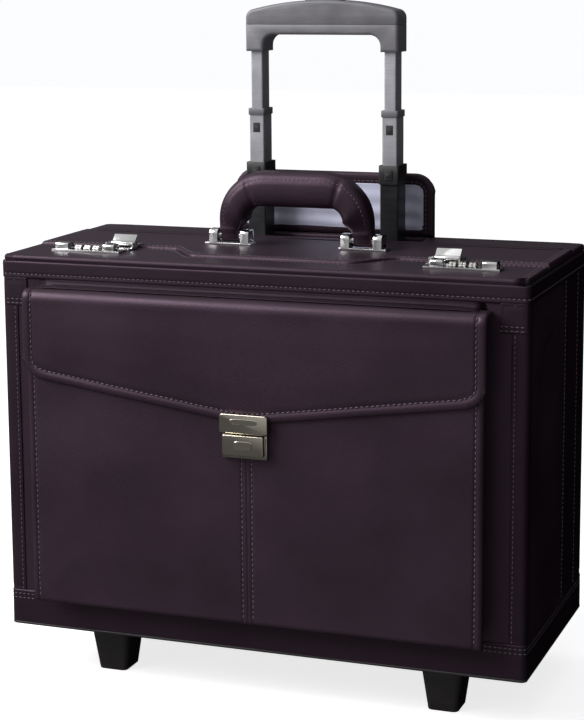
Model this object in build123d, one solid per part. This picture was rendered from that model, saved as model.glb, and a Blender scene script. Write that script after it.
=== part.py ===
from build123d import *
import os

# Pilot rolling flight case: a leather-covered box with two top lids, combination locks,
# a carry handle, a front pocket and a three-stage trolley handle in a rear compartment.
# Lengths in mm. X runs across the case, Y from front to rear, Z up. The sizes below are
# measured from the middle of the shell's lower front edge; the written parts are moved so
# that the origin is at the middle of the base of the whole object.

# ---- driving dimensions: shell ----
case_width = 470.0
case_depth = 211.0
case_height = 330.0
cover = 1.5                 # leather with its padding
board = 4.0                 # fibre board walls
floor_board = 6.0
lining = 1.0
band_height = 31.5          # protective band round the base
rim_height = 4.0            # metal frame at the mouth
trolley_room = 47.0         # from the case's back to the rear of the partition board
divider_front = 112.0
divider_height = 240.0
divider_thickness = 3.0
play = 0.5                  # gap round loose or moving flat parts
fit_gap = 0.05              # radial running fit of pins
slip = 0.1                  # gap per side of telescoping tubes

# ---- lids ----
front_lid_thickness = 5.0
rear_lid_thickness = 7.0
seam_y = 72.0               # straight part of the seam between the lids
tongue_y = 38.0             # front of the rear lid's tongue
tongue_half = 70.0
tongue_shoulder = 105.0
seam_gap = 1.0

# ---- rear deck and trolley ----
deck_thickness = 6.0
slot_half = 92.0
slot_depth = 32.0
slot_corner = 6.0
trolley_inset = 26.0        # tube centres in front of the case's back
tube_pitch = 127.3
upper_tube = (11.0, 18.0)
tube_wall = 1.4
tube_edge = 1.2
guide_drop = 59.0           # guide's top below the mouth
guide_height = 13.0
guide_half = 85.0
tube_base_height = 6.0
lower_tube_length = 258.0
middle_tube_length = 250.0
upper_tube_length = 268.0
lower_collar_rise = 74.0    # heights above the mouth, with the handle drawn out as shown
collar_height = 17.0
collar_wall = 1.0
middle_collar_rise = 123.0
middle_collar_height = 6.0
grip_width = 145.0
grip_depth = 29.0
grip_leg_rise = 175.0
grip_leg_length = 15.0
grip_base_height = 9.0
grip_cap_height = 22.0
grip_end_drop = 10.0
grip_leg_width = 17.0
grip_corner = 10.0
grip_shoulder = 8.0
grip_edge = 3.0
button_width = 36.0
button_depth = 16.0
button_travel = 3.0
button_height = 10.5
button_proud = 0.5
button_corner = 4.0
button_edge = 1.5

# ---- cover flap of the trolley slot ----
cover_flap_half = 97.0
cover_flap_thickness = 8.0
cover_flap_height = 58.0
cover_flap_corner = 18.0

# ---- carry handle ----
handle_y = 105.0
handle_half = 72.0
handle_depth = 28.0
handle_rise = 67.0          # top of the handle above the rear lid
grip_thickness = 32.0       # padded bar over the opening
opening_half_low = 52.0
opening_half_high = 43.0
opening_corner = 9.0
handle_shoulder = 46.0
pivot_height = 8.0          # handle pin above the rear lid
handle_leg_rise = 15.0      # foot of the padded legs above the rear lid
handle_taper_rise = 33.0    # above this the padding has its full depth
handle_leg_depth = 15.0     # depth of the padding where the legs start
handle_end = (53.0, 71.0)   # stitched leather round the strap's eyes
strap_width = 11.0          # steel strap inside the handle
strap_depth = 8.0
eye_radius = 5.6
strap_x = 61.5
strap_bar_rise = 50.0
handle_pin_radius = 3.0
bracket_base = 2.0
bracket_depth = 14.0
bracket_inner = (43.0, 51.0)
bracket_outer = (72.5, 80.5)
bracket_top = 14.0
bracket_flange = (2.0, 4.0)

# ---- combination locks ----
lock_inset = 65.0           # middle of each lock from the side
lock_front = 30.0
lock_length = 65.0
lock_plate_depth = 16.0
lock_plate = 2.0
lock_body_depth = 8.5
lock_block_height = 5.5
lock_block = (15.0, 3.0)    # fixed block's ends, from the plate's end
lock_block_inset = 2.0
lock_block_edge = 2.0
dial_radius = 5.5
dial_width = 6.0
dial_pitch = 8.5
dial_pin_radius = 1.0
dial_edge = 0.6
dial_gap = 0.4              # beside each dial
stem_width = 3.0
stem_depth = 4.0
slider_offset = 21.5        # slider's centre from the lock's centre
slider_width = 11.0
slider_travel = 3.0
hasp_offset = 21.0
hasp_width = 22.0
hasp_length = 10.0
hasp_thickness = 1.8
hasp_pin_y = 64.5
hasp_pin_radius = 1.0
hasp_wall = 1.2
hasp_open_angle = 45.0
ear_width = 2.0
ear_lap = 6.0               # ears' length over the seat
ear_margin = 2.0            # ears past the pin
seat_gap = 2.5
keeper_thickness = 1.0
keeper_depth = 11.0
keeper_lip = (1.5, 2.5)     # depth and height of the edge that the hasp meets

# ---- front pocket ----
pocket_inset = 31.0         # pocket's sides from the case's sides
pocket_low = 30.0
pocket_drop = 27.0          # pocket's top below the mouth
pocket_depth = 17.0
pocket_panel = 3.0
gusset = 2.0
gusset_inset = 4.0
flap_overhang = 2.0
flap_drop = 21.0            # flap's top below the mouth
flap_thickness = 3.0
flap_side_length = 75.0
flap_middle_length = 104.0
flap_corner = 18.0
pocket_lock_width = 43.0
pocket_plate_below = 6.0    # plate's lower end below the flap's point
pocket_plate_height = 15.0
pocket_plate_corner = 3.0
pocket_plate = 4.0
pocket_roll_radius = 2.0
press_width = 37.0
press_gap = 2.5             # between the plate and the button
press_height = 17.5
press_corner = 2.0
press_thickness = 5.0
press_travel = 2.5
lock_box = 4.0
tang_half = 4.0
tang_height = 3.0

# ---- feet and wheels ----
foot_inset = 80.0           # middle of each foot from the side
foot_top = (38.0, 45.0)
foot_bottom = (27.0, 30.0)
foot_front = 28.0
foot_corners = (5.0, 6.0)
wheel_inset = 75.0          # middle of each wheel from the side
wheel_back = 3.5            # wheel in front of the case's back
wheel_gap = 1.5             # between the tyre and the fork's plate
wheel_radius = 21.5
wheel_width = 20.0
tyre_corner = 3.0
hub_radius = 15.0
hub_rim = 3.0
hub_flat = 1.0
axle_radius = 3.0
axle_cap_width = 2.0
fork_plate = 2.5
fork_cheek = 3.0
fork_gap = 1.2
screw_radius = 1.5
screw_head = 3.0


# ---- shape helpers ----
def block(x, y, z):
    """A box between two corners, given as (low, high) along each axis."""
    size = (x[1] - x[0], y[1] - y[0], z[1] - z[0])
    middle = ((x[0] + x[1]) / 2, (y[0] + y[1]) / 2, (z[0] + z[1]) / 2)
    return Pos(*middle) * Box(*size)


def rod(x, y, z, radius):
    """A cylinder along X between x[0] and x[1]."""
    length = x[1] - x[0]
    return Pos((x[0] + x[1]) / 2, y, z) * Rot(0, 90, 0) * Cylinder(radius, length)


def post(x, y, z, radius):
    """A cylinder along Z between z[0] and z[1]."""
    return Pos(x, y, (z[0] + z[1]) / 2) * Cylinder(radius, z[1] - z[0])


def slab_z(outline, z):
    """A flat plate with an outline in the XY plane."""
    return Pos(0, 0, z[0]) * extrude(outline, z[1] - z[0], dir=(0, 0, 1))


def slab_y(outline, y):
    """A flat plate with an outline in the XZ plane, between two Y values."""
    return Pos(0, y[0], 0) * extrude(Plane.XZ * outline, y[1] - y[0], dir=(0, 1, 0))


def slab_x(outline, x):
    """A flat plate with an outline in the YZ plane, between two X values."""
    return Pos(x[0], 0, 0) * extrude(Plane.YZ * outline, x[1] - x[0], dir=(1, 0, 0))


def other_side(shape):
    return mirror(shape, about=Plane.YZ)


def pair(shape):
    return [shape, other_side(shape)]


def centred(width, depth, x, y, z):
    """An upright bar of a rectangular section centred on x, y."""
    return block((x - width / 2, x + width / 2), (y - depth / 2, y + depth / 2), z)


nodes = {}
foot_height = 2 * wheel_radius + wheel_gap + fork_plate

# ---- shell boards, cover and lining ----
half = case_width / 2
board_half = half - cover
partition_front = case_depth - trolley_room - board
inner_half = board_half - board
inner_front = cover + board
inner_rear = case_depth - cover - board
rim_bottom = case_height - rim_height
floor_top = cover + floor_board
partition_rear = partition_front + board

nodes["front_board"] = block((-board_half, board_half), (cover, inner_front), (cover, rim_bottom))
board_z = (cover, rim_bottom)
nodes["back_board"] = block((-board_half, board_half), (inner_rear, case_depth - cover), board_z)
side_board = block((inner_half, board_half), (inner_front, inner_rear), (cover, rim_bottom))
nodes["side_board_right"] = side_board
nodes["side_board_left"] = other_side(side_board)
bottom_board = block((-inner_half, inner_half), (inner_front, inner_rear), (cover, floor_top))
nodes["partition_board"] = block((-inner_half, inner_half), (partition_front, partition_rear),
                                 (floor_top, case_height))

corner = 2 * cover
outside = block((-half, half), (0, case_depth), (0, rim_bottom))
outside = fillet(outside.edges().filter_by(Axis.Z), corner)
boards_space = block((-board_half, board_half), (cover, case_depth - cover), (cover, rim_bottom))
shell_skin = outside - boards_space
above_band = block((-half, half), (0, case_depth), (band_height, rim_bottom))
nodes["leather_wrap"] = shell_skin & above_band
base_band = shell_skin - above_band
rim = block((-half, half), (0, case_depth), (rim_bottom, case_height))
rim = fillet(rim.edges().filter_by(Axis.Z), corner)
rim_hole = block((-inner_half, inner_half), (inner_front, inner_rear), (rim_bottom, case_height))
nodes["mouth_frame"] = rim - rim_hole

lining_out = block((-inner_half, inner_half), (inner_front, partition_front), (floor_top, rim_bottom))
lining_in = block((-inner_half + lining, inner_half - lining),
                  (inner_front + lining, partition_front - lining), (floor_top + lining, rim_bottom))
nodes["compartment_lining"] = lining_out - lining_in
divider_half = inner_half - lining - play
divider_low = floor_top + lining
divider_y = (divider_front, divider_front + divider_thickness)
divider_z = (divider_low, divider_low + divider_height)
nodes["file_divider"] = block((-divider_half, divider_half), divider_y, divider_z)

# ---- wheels, their forks, axles and screws ----
wheel_x = half - wheel_inset
wheel_y = case_depth - wheel_back - wheel_radius
wheel_z = wheel_radius - foot_height
cheek_in = wheel_width / 2 + fork_gap
cheek_out = cheek_in + fork_cheek
fork_half = cheek_out + 3 * screw_head
fork_front = wheel_y - wheel_radius
fork_rear = case_depth - cover
fork = block((wheel_x - fork_half, wheel_x + fork_half), (fork_front, fork_rear), (-fork_plate, 0))
cheek_low = wheel_z - 2.2 * axle_radius
cheek_half = 3 * axle_radius
cheek_outline = Polygon((fork_front + cover, -fork_plate), (fork_rear, -fork_plate),
                        (wheel_y + cheek_half, cheek_low), (wheel_y - cheek_half, cheek_low), align=None)
for inner in (wheel_x - cheek_out, wheel_x + cheek_in):
    fork += slab_x(cheek_outline, (inner, inner + fork_cheek))
axle = rod((wheel_x - cheek_out, wheel_x + cheek_out), wheel_y, wheel_z, axle_radius)
fork -= axle
axle_cap = 1.5 * axle_radius
axle_end = cheek_out + axle_cap_width
axle += rod((wheel_x - axle_end, wheel_x - cheek_out), wheel_y, wheel_z, axle_cap)
axle += rod((wheel_x + cheek_out, wheel_x + axle_end), wheel_y, wheel_z, axle_cap)

wheel_span = (wheel_x - wheel_width / 2, wheel_x + wheel_width / 2)
tyre = rod(wheel_span, wheel_y, wheel_z, wheel_radius)
tyre = fillet(tyre.edges().filter_by(GeomType.CIRCLE), tyre_corner)
tyre -= rod(wheel_span, wheel_y, wheel_z, hub_radius)
hub = rod(wheel_span, wheel_y, wheel_z, hub_radius)
for side in (wheel_span[0], wheel_span[1] - hub_flat):
    ring = rod((side, side + hub_flat), wheel_y, wheel_z, hub_radius - hub_rim)
    hub -= ring - rod((side, side + hub_flat), wheel_y, wheel_z, axle_radius + hub_rim)
hub -= rod(wheel_span, wheel_y, wheel_z, axle_radius + fit_gap)

screws = []
screw_length = floor_board
screw_reach = fork_half - 4 * screw_head / 3
for x in (wheel_x - screw_reach, wheel_x + screw_reach):
    for y in (fork_front + 2 * screw_head, fork_rear - 2 * screw_head):
        shank = post(x, y, (-fork_plate, screw_length), screw_radius)
        fork -= shank
        for piece in pair(shank):
            base_band -= piece
            bottom_board -= piece
        head = post(x, y, (-fork_plate - screw_radius, -fork_plate), screw_head)
        screws += pair(shank + head)
nodes["base_band"] = base_band
nodes["bottom_board"] = bottom_board
nodes["wheel_forks"] = pair(fork)
nodes["wheel_axles"] = pair(axle)
nodes["fork_screws"] = screws
nodes["tyre_right"] = tyre
nodes["tyre_left"] = other_side(tyre)
nodes["hub_right"] = hub
nodes["hub_left"] = other_side(hub)

# ---- front feet, tapered ----
foot_x = half - foot_inset
foot_y = foot_front + foot_top[1] / 2
foot_upper = Pos(foot_x, foot_y, 0) * RectangleRounded(*foot_top, foot_corners[1])
foot_lower = Pos(foot_x, foot_y, -foot_height) * RectangleRounded(*foot_bottom, foot_corners[0])
foot = loft([foot_lower, foot_upper])
nodes["front_foot_right"] = foot
nodes["front_foot_left"] = other_side(foot)

# ---- trolley: fixed tubes, base and guide in the rear compartment ----
tube_x = tube_pitch / 2
trolley_y = case_depth - trolley_inset
step = 2 * (tube_wall + slip)
middle_tube = (upper_tube[0] + step, upper_tube[1] + step)
lower_tube = (middle_tube[0] + step, middle_tube[1] + step)
fixed_tube = (lower_tube[0] + step, lower_tube[1] + step)


def tube(section, z):
    """A rectangular tube with softened outer edges and a square bore."""
    bar = centred(*section, tube_x, trolley_y, z)
    bar = fillet(bar.edges().filter_by(Axis.Z), tube_edge)
    bore = (section[0] - 2 * tube_wall, section[1] - 2 * tube_wall)
    return bar - centred(*bore, tube_x, trolley_y, z)


tube_floor = floor_top + tube_base_height
guide_top = case_height - guide_drop
guide_low = guide_top - guide_height
room = (partition_rear, inner_rear)
nodes["trolley_base"] = block((-guide_half, guide_half), room, (floor_top, tube_floor))
nodes["fixed_tubes"] = pair(tube(fixed_tube, (tube_floor, guide_low)))
guide = block((-guide_half, guide_half), room, (guide_low, guide_top))
guide_bore = (lower_tube[0] + 2 * slip, lower_tube[1] + 2 * slip)
for hole in pair(centred(*guide_bore, tube_x, trolley_y, (guide_low, guide_top))):
    guide -= hole
nodes["trolley_guide"] = guide

# ---- trolley: three moving stages ----
collar_lip = 2.0
lower_collar_top = case_height + lower_collar_rise
lower_top = lower_collar_top - collar_lip
lower_z = (lower_top - lower_tube_length, lower_top)
nodes["lower_tubes"] = pair(tube(lower_tube, lower_z))
collar_z = (lower_collar_top - collar_height, lower_collar_top)
collar_section = (lower_tube[0] + 2 * collar_wall, lower_tube[1] + 4 * collar_wall)
collar = centred(*collar_section, tube_x, trolley_y, collar_z)
collar = fillet(collar.edges().filter_by(Axis.Z), 2 * collar_wall)
lower_bar = centred(*lower_tube, tube_x, trolley_y, (collar_z[0], lower_top))
lower_bar = fillet(lower_bar.edges().filter_by(Axis.Z), tube_edge)
collar -= lower_bar
collar -= centred(middle_tube[0] + 2 * slip, middle_tube[1] + 2 * slip, tube_x, trolley_y, collar_z)
nodes["lower_collars"] = pair(collar)

middle_collar_top = case_height + middle_collar_rise
middle_top = middle_collar_top - collar_lip
middle_z = (middle_top - middle_tube_length, middle_top)
nodes["middle_tubes"] = pair(tube(middle_tube, middle_z))
cap_z = (middle_collar_top - middle_collar_height, middle_collar_top)
cap_section = (middle_tube[0] + 2 * collar_wall, middle_tube[1] + 2 * collar_wall)
cap = centred(*cap_section, tube_x, trolley_y, cap_z)
cap = fillet(cap.edges().filter_by(Axis.Z), 1.6 * collar_wall)
middle_bar = centred(*middle_tube, tube_x, trolley_y, (cap_z[0], middle_top))
middle_bar = fillet(middle_bar.edges().filter_by(Axis.Z), tube_edge)
cap -= middle_bar
cap -= centred(upper_tube[0] + 2 * slip, upper_tube[1] + 2 * slip, tube_x, trolley_y, cap_z)
nodes["middle_collars"] = pair(cap)

grip_leg_bottom = case_height + grip_leg_rise
grip_underside = grip_leg_bottom + grip_leg_length
grip_split = grip_underside + grip_base_height
grip_top = grip_split + grip_cap_height
upper_top = grip_split - 2 * play
nodes["upper_tubes"] = pair(tube(upper_tube, (upper_top - upper_tube_length, upper_top)))

# ---- trolley grip: two shells and the release button ----
grip_half = grip_width / 2
grip_y = (trolley_y - grip_depth / 2, trolley_y + grip_depth / 2)
leg_inner = grip_half - grip_leg_width
end_top = grip_top - grip_end_drop
grip_sides = Polyline((grip_half, end_top), (grip_half, grip_leg_bottom), (-grip_half, grip_leg_bottom),
                      (-grip_half, end_top))
grip_arch = ThreePointArc((-grip_half, end_top), (0, grip_top), (grip_half, end_top))
grip_outline = make_face(grip_sides + grip_arch)
grip_outline = fillet(grip_outline.vertices().group_by(Axis.Y)[1], grip_shoulder)
hand_hole = Pos(0, (grip_leg_bottom + grip_underside) / 2 - grip_corner) * Rectangle(
    2 * leg_inner, grip_underside - grip_leg_bottom + 2 * grip_corner)
hand_hole = fillet(hand_hole.vertices().group_by(Axis.Y)[-1], grip_corner)
grip = slab_y(grip_outline - hand_hole, grip_y)
long_edges = grip.faces().sort_by(Axis.Y)[0].edges() + grip.faces().sort_by(Axis.Y)[-1].edges()
grip = fillet(long_edges, grip_edge)
split_tool = block((-grip_half, grip_half), grip_y, (grip_split, grip_top + play))
grip_base = grip - split_tool
socket = centred(*upper_tube, tube_x, trolley_y, (grip_leg_bottom, upper_top))
for hole in pair(fillet(socket.edges().filter_by(Axis.Z), tube_edge)):
    grip_base -= hole
nodes["grip_base"] = grip_base
grip_cap = grip & split_tool
button_z = (grip_top + button_proud - button_height, grip_top + button_proud)
button_hole = block((-button_width / 2 - play, button_width / 2 + play),
                    (trolley_y - button_depth / 2 - play, trolley_y + button_depth / 2 + play),
                    (button_z[0] - button_travel - play, button_z[1]))
nodes["grip_cap"] = grip_cap - button_hole
release_button = centred(button_width, button_depth, 0, trolley_y, button_z)
release_button = fillet(release_button.edges().filter_by(Axis.Z), button_corner)
nodes["release_button"] = fillet(release_button.faces().sort_by(Axis.Z)[-1].edges(), button_edge)

# ---- rear deck with the trolley slot, and its cover flap ----
deck_front = partition_rear + 2 * play
deck_top = case_height + deck_thickness
deck = block((-half, half), (deck_front, case_depth), (case_height, deck_top))
deck = fillet(deck.edges().filter_by(Axis.Z).group_by(Axis.Y)[-1], corner)
slot = centred(2 * slot_half, slot_depth, 0, trolley_y, (case_height, deck_top))
nodes["rear_deck"] = deck - fillet(slot.edges().filter_by(Axis.Z), slot_corner)
flap_low = deck_top + play / 2
cover_middle = flap_low + cover_flap_height / 2
cover_outline = Pos(0, cover_middle) * Rectangle(2 * cover_flap_half, cover_flap_height)
cover_outline = fillet(cover_outline.vertices().group_by(Axis.Y)[-1], cover_flap_corner)
nodes["trolley_cover_flap"] = slab_y(cover_outline, (case_depth - cover_flap_thickness, case_depth))


# ---- lids, meeting along a seam with a curved tongue ----
def lid_outline(edge_y, tongue_front, side):
    """A lid between its seam, at edge_y and in the middle at tongue_front, and the line Y = side."""
    middle_x = (tongue_half + tongue_shoulder) / 2
    middle_y = (edge_y + tongue_front) / 2
    ends = [(-half, edge_y), (-tongue_shoulder, edge_y), (-middle_x, middle_y), (-tongue_half, tongue_front),
            (tongue_half, tongue_front), (middle_x, middle_y), (tongue_shoulder, edge_y), (half, edge_y)]
    level = (1, 0)
    seam = Line(ends[0], ends[1])
    seam += Spline(ends[1], ends[2], ends[3], tangents=(level, level))
    seam += Line(ends[3], ends[4])
    seam += Spline(ends[4], ends[5], ends[6], tangents=(level, level))
    seam += Line(ends[6], ends[7])
    return make_face(seam + Polyline(ends[7], (half, side), (-half, side), ends[0]))


front_lid_top = case_height + front_lid_thickness
rear_lid_top = case_height + rear_lid_thickness
seam_front = (seam_y - seam_gap / 2, tongue_y - seam_gap / 2)
seam_rear = (seam_y + seam_gap / 2, tongue_y + seam_gap / 2)
front_lid = slab_z(lid_outline(*seam_front, 0), (case_height, front_lid_top))
front_lid = fillet(front_lid.edges().filter_by(Axis.Z).group_by(Axis.Y)[0], corner)
nodes["rear_lid_panel"] = slab_z(lid_outline(*seam_rear, partition_rear), (case_height, rear_lid_top))

# ---- combination locks on the front lid ----
lock_x = half - lock_inset
slider_x = lock_x - slider_offset
hasp_x = lock_x - hasp_offset
plate_top = front_lid_top + lock_plate
plate_x = (lock_x - lock_length / 2, lock_x + lock_length / 2)
plate_y = (lock_front, lock_front + lock_plate_depth)
body_x = (plate_x[0] + lock_block_inset, plate_x[1] - lock_block_inset)
body_y = (plate_y[0] + cover, plate_y[1] - cover)
body_low = front_lid_top - lock_body_depth
dial_y = (plate_y[0] + plate_y[1]) / 2
dial_z = plate_top - dial_pin_radius - play
dial_centres = [lock_x + dial_pitch * place for place in (-1, 0, 1)]
lock_body = block(body_x, body_y, (body_low, front_lid_top))
for recess in pair(lock_body):
    front_lid -= recess
lock_case = block(plate_x, plate_y, (front_lid_top, plate_top)) + lock_body
block_y = (plate_y[0] + lock_block_inset, plate_y[1] - lock_block_inset)
block_z = (plate_top, plate_top + lock_block_height)
end_block = block((plate_x[1] - lock_block[0], plate_x[1] - lock_block[1]), block_y, block_z)
lock_case += fillet(end_block.edges().filter_by(Axis.X).group_by(Axis.Z)[-1], lock_block_edge)
seat_x = (hasp_x - hasp_width / 2 - play, hasp_x + hasp_width / 2 + play)
seat_rear = hasp_pin_y - hasp_pin_radius - seat_gap
ears_x = (seat_x[0] - ear_width, seat_x[1] + ear_width)
lock_case += block(ears_x, (plate_y[1], seat_rear), (front_lid_top, plate_top))
hasp_z = rear_lid_top + keeper_thickness + hasp_thickness / 2 + play / 2
for ear_x in ((seat_x[0] - ear_width, seat_x[0]), (seat_x[1], seat_x[1] + ear_width)):
    ear_y = (seat_rear - ear_lap, hasp_pin_y + ear_margin)
    lock_case += block(ear_x, ear_y, (front_lid_top, hasp_z + ear_margin))
hasp_pin = rod(ears_x, hasp_pin_y, hasp_z, hasp_pin_radius)
lock_case -= hasp_pin
dial_pin_x = (dial_centres[0] - dial_width, dial_centres[-1] + dial_width)
dial_pin = rod(dial_pin_x, dial_y, dial_z, dial_pin_radius)
for x in dial_centres:
    window_z = (dial_z - dial_radius - play, plate_top)
    lock_case -= centred(dial_width + 2 * dial_gap, 2 * (dial_radius + play), x, dial_y, window_z)
lock_case -= dial_pin
stem_slot = (slider_x - stem_width / 2 - slider_travel - play, slider_x + stem_width / 2 + play)
stem_low = front_lid_top - lock_plate
stem_half = (stem_depth + play) / 2
lock_case -= block(stem_slot, (dial_y - stem_half, dial_y + stem_half), (stem_low - play, plate_top))
slider_z = (plate_top + slip, plate_top + lock_block_height)
slider = centred(slider_width, block_y[1] - block_y[0], slider_x, dial_y, slider_z)
slider = fillet(slider.edges().filter_by(Axis.X).group_by(Axis.Z)[-1], lock_block_edge)
slider += centred(stem_width, stem_depth, slider_x, dial_y, (stem_low, plate_top + slip))
nodes["lock_case_right"] = lock_case
nodes["lock_case_left"] = other_side(lock_case)
nodes["lock_slider_right"] = slider
nodes["lock_slider_left"] = other_side(slider)
nodes["dial_pins"] = pair(dial_pin)
nodes["hasp_pins"] = pair(hasp_pin)
nodes["front_lid_panel"] = front_lid
for number, x in enumerate(dial_centres, 1):
    dial = rod((x - dial_width / 2, x + dial_width / 2), dial_y, dial_z, dial_radius)
    dial = chamfer(dial.edges().filter_by(GeomType.CIRCLE), dial_edge)
    dial -= rod((x - dial_width / 2, x + dial_width / 2), dial_y, dial_z, dial_pin_radius + fit_gap)
    nodes[f"dial_right_{number}"] = dial
    nodes[f"dial_left_{number}"] = other_side(dial)

# ---- hasps, shown sprung open, and their keepers on the rear lid ----
barrel = hasp_pin_radius + hasp_wall
hasp_span = (hasp_x - hasp_width / 2, hasp_x + hasp_width / 2)
hasp_leaf_z = (hasp_z - hasp_thickness / 2, hasp_z + hasp_thickness / 2)
hasp = block(hasp_span, (hasp_pin_y, hasp_pin_y + hasp_length), hasp_leaf_z)
hasp += rod(hasp_span, hasp_pin_y, hasp_z, barrel)
hasp -= rod(hasp_span, hasp_pin_y, hasp_z, hasp_pin_radius + fit_gap)
hasp = hasp.rotate(Axis((0, hasp_pin_y, hasp_z), (1, 0, 0)), hasp_open_angle)
nodes["hasp_right"] = hasp
nodes["hasp_left"] = other_side(hasp)
keeper_y = (seam_y + seam_gap, seam_y + seam_gap + keeper_depth)
keeper_top = rear_lid_top + keeper_thickness
keeper = block(hasp_span, keeper_y, (rear_lid_top, keeper_top))
lip_y = hasp_pin_y + hasp_length + 2 * play
lip_x = (hasp_span[0] + hasp_width / 5, hasp_span[1] - hasp_width / 5)
keeper += block(lip_x, (lip_y, lip_y + keeper_lip[0]), (keeper_top, keeper_top + keeper_lip[1]))
nodes["hasp_keepers"] = pair(keeper)

# ---- carry handle with its steel strap, pins and brackets ----
pivot_z = rear_lid_top + pivot_height
handle_top = rear_lid_top + handle_rise
opening_top = handle_top - grip_thickness
handle_leg_bottom = rear_lid_top + handle_leg_rise
handle_leg_taper = rear_lid_top + handle_taper_rise
strap_bar_z = rear_lid_top + strap_bar_rise
handle_middle = (handle_top + handle_leg_bottom) / 2
handle_outline = Pos(0, handle_middle) * Rectangle(2 * handle_half, handle_top - handle_leg_bottom)
handle_outline = fillet(handle_outline.vertices().group_by(Axis.Y)[-1], handle_shoulder)
opening = Polygon((-opening_half_low, handle_leg_bottom), (opening_half_low, handle_leg_bottom),
                  (opening_half_high, opening_top), (-opening_half_high, opening_top), align=None)
opening = fillet(opening.vertices().group_by(Axis.Y)[-1], opening_corner)
handle_y_span = (handle_y - handle_depth / 2, handle_y + handle_depth / 2)
padding = slab_y(handle_outline - opening, handle_y_span)
for leg in pair(block(handle_end, handle_y_span, (pivot_z, handle_leg_bottom))):
    padding += leg
side_half = [(eye_radius, pivot_z), (handle_leg_depth / 2, handle_leg_bottom),
             (handle_depth / 2, handle_leg_taper), (handle_depth / 2, handle_top)]
side_outline = Polygon(*[(handle_y + y, z) for y, z in side_half],
                       *[(handle_y - y, z) for y, z in reversed(side_half)], align=None)
padding &= slab_x(side_outline, (-handle_half, handle_half))
for eye in pair(rod(handle_end, handle_y, pivot_z, eye_radius)):
    padding += eye
strap_out = strap_x + strap_width / 2
strap_in = strap_x - strap_width / 2
strap_top = strap_bar_z + strap_depth / 2
strap_face = Pos(0, (strap_top + pivot_z) / 2) * Rectangle(2 * strap_out, strap_top - pivot_z)
strap_face = fillet(strap_face.vertices().group_by(Axis.Y)[-1], handle_shoulder / 2)
strap_gap_top = strap_bar_z - strap_depth / 2
strap_hole = Pos(0, (strap_gap_top + pivot_z) / 2) * Rectangle(2 * strap_in, strap_gap_top - pivot_z)
strap_hole = fillet(strap_hole.vertices().group_by(Axis.Y)[-1], handle_shoulder / 2 - strap_depth)
strap = slab_y(strap_face - strap_hole, (handle_y - strap_depth / 2, handle_y + strap_depth / 2))
for eye in pair(rod((strap_in, strap_out), handle_y, pivot_z, strap_depth / 2 + cover / 2)):
    strap += eye
padding -= strap
for hole in pair(rod(handle_end, handle_y, pivot_z, handle_pin_radius + 3 * slip)):
    padding -= hole
nodes["handle_padding"] = padding
pin_x = (bracket_inner[0], bracket_outer[1])
for eye in pair(rod(pin_x, handle_y, pivot_z, handle_pin_radius + fit_gap)):
    strap -= eye
nodes["handle_strap"] = strap
handle_pin = rod(pin_x, handle_y, pivot_z, handle_pin_radius)
bracket_x = (bracket_inner[0] - bracket_flange[0], bracket_outer[1] + bracket_flange[1])
bracket_y = (handle_y - bracket_depth / 2, handle_y + bracket_depth / 2)
bracket = block(bracket_x, bracket_y, (rear_lid_top, rear_lid_top + bracket_base))
bracket_z = (rear_lid_top + bracket_base, rear_lid_top + bracket_top)
for span in (bracket_inner, bracket_outer):
    ear = block(span, bracket_y, bracket_z)
    bracket += fillet(ear.edges().filter_by(Axis.X).group_by(Axis.Z)[-1], bracket_depth / 3)
bracket -= handle_pin
nodes["handle_brackets"] = pair(bracket)
nodes["handle_pins"] = pair(handle_pin)

# ---- front pocket, its flap and press lock ----
pocket_half = half - pocket_inset
pocket_high = case_height - pocket_drop
panel_y = (-pocket_depth - pocket_panel, -pocket_depth)
nodes["pocket_panel"] = block((-pocket_half, pocket_half), panel_y, (pocket_low, pocket_high))
gusset_out = pocket_half - gusset_inset
gusset_low = pocket_low + gusset_inset
gusset_shape = block((-gusset_out, gusset_out), (-pocket_depth, 0), (gusset_low, pocket_high))
gusset_in = gusset_out - gusset
gusset_shape -= block((-gusset_in, gusset_in), (-pocket_depth, 0), (gusset_low + gusset, pocket_high))
nodes["pocket_gusset"] = gusset_shape

flap_back = panel_y[0] - play
flap_y = (flap_back - flap_thickness, flap_back)
flap_half = pocket_half + flap_overhang
flap_top = case_height - flap_drop
flap_corner_z = flap_top - flap_side_length
flap_point_z = flap_top - flap_middle_length
flap_outline = Polygon((-flap_half, flap_top), (-flap_half, flap_corner_z), (0, flap_point_z),
                       (flap_half, flap_corner_z), (flap_half, flap_top), align=None)
flap_corners = flap_outline.vertices().sort_by_distance((0, flap_corner_z))
flap_corners = [vertex for vertex in flap_corners if abs(vertex.Y - flap_corner_z) < play]
flap = slab_y(fillet(flap_corners, flap_corner), flap_y)
flap += block((-flap_half, flap_half), (flap_y[0], -play), (flap_top - flap_thickness, flap_top))
nodes["pocket_flap"] = flap
plate_half = pocket_lock_width / 2
pocket_plate_low = flap_point_z - pocket_plate_below
pocket_plate_high = pocket_plate_low + pocket_plate_height
flap_plate_y = (flap_y[0] - pocket_plate, flap_y[0])
flap_plate = block((-plate_half, plate_half), flap_plate_y, (pocket_plate_low, pocket_plate_high))
flap_plate = fillet(flap_plate.edges().filter_by(Axis.Y).group_by(Axis.Z)[-1], pocket_plate_corner)
roll_y = flap_plate_y[0] + pocket_roll_radius
flap_plate += rod((-plate_half, plate_half), roll_y, pocket_plate_low, pocket_roll_radius)
nodes["pocket_lock_plate"] = flap_plate
box_y = (panel_y[0] - lock_box, panel_y[0])
press_high = pocket_plate_low - press_gap
press_low = press_high - press_height
lock_box_half = press_width / 2 + 3 * play
lock_box_z = (press_low - press_travel - play, press_high)
pocket_lock = block((-lock_box_half, lock_box_half), box_y, lock_box_z)
press_middle = (press_low + press_high) / 2
tang_rear = panel_y[0] - 2 * play
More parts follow.
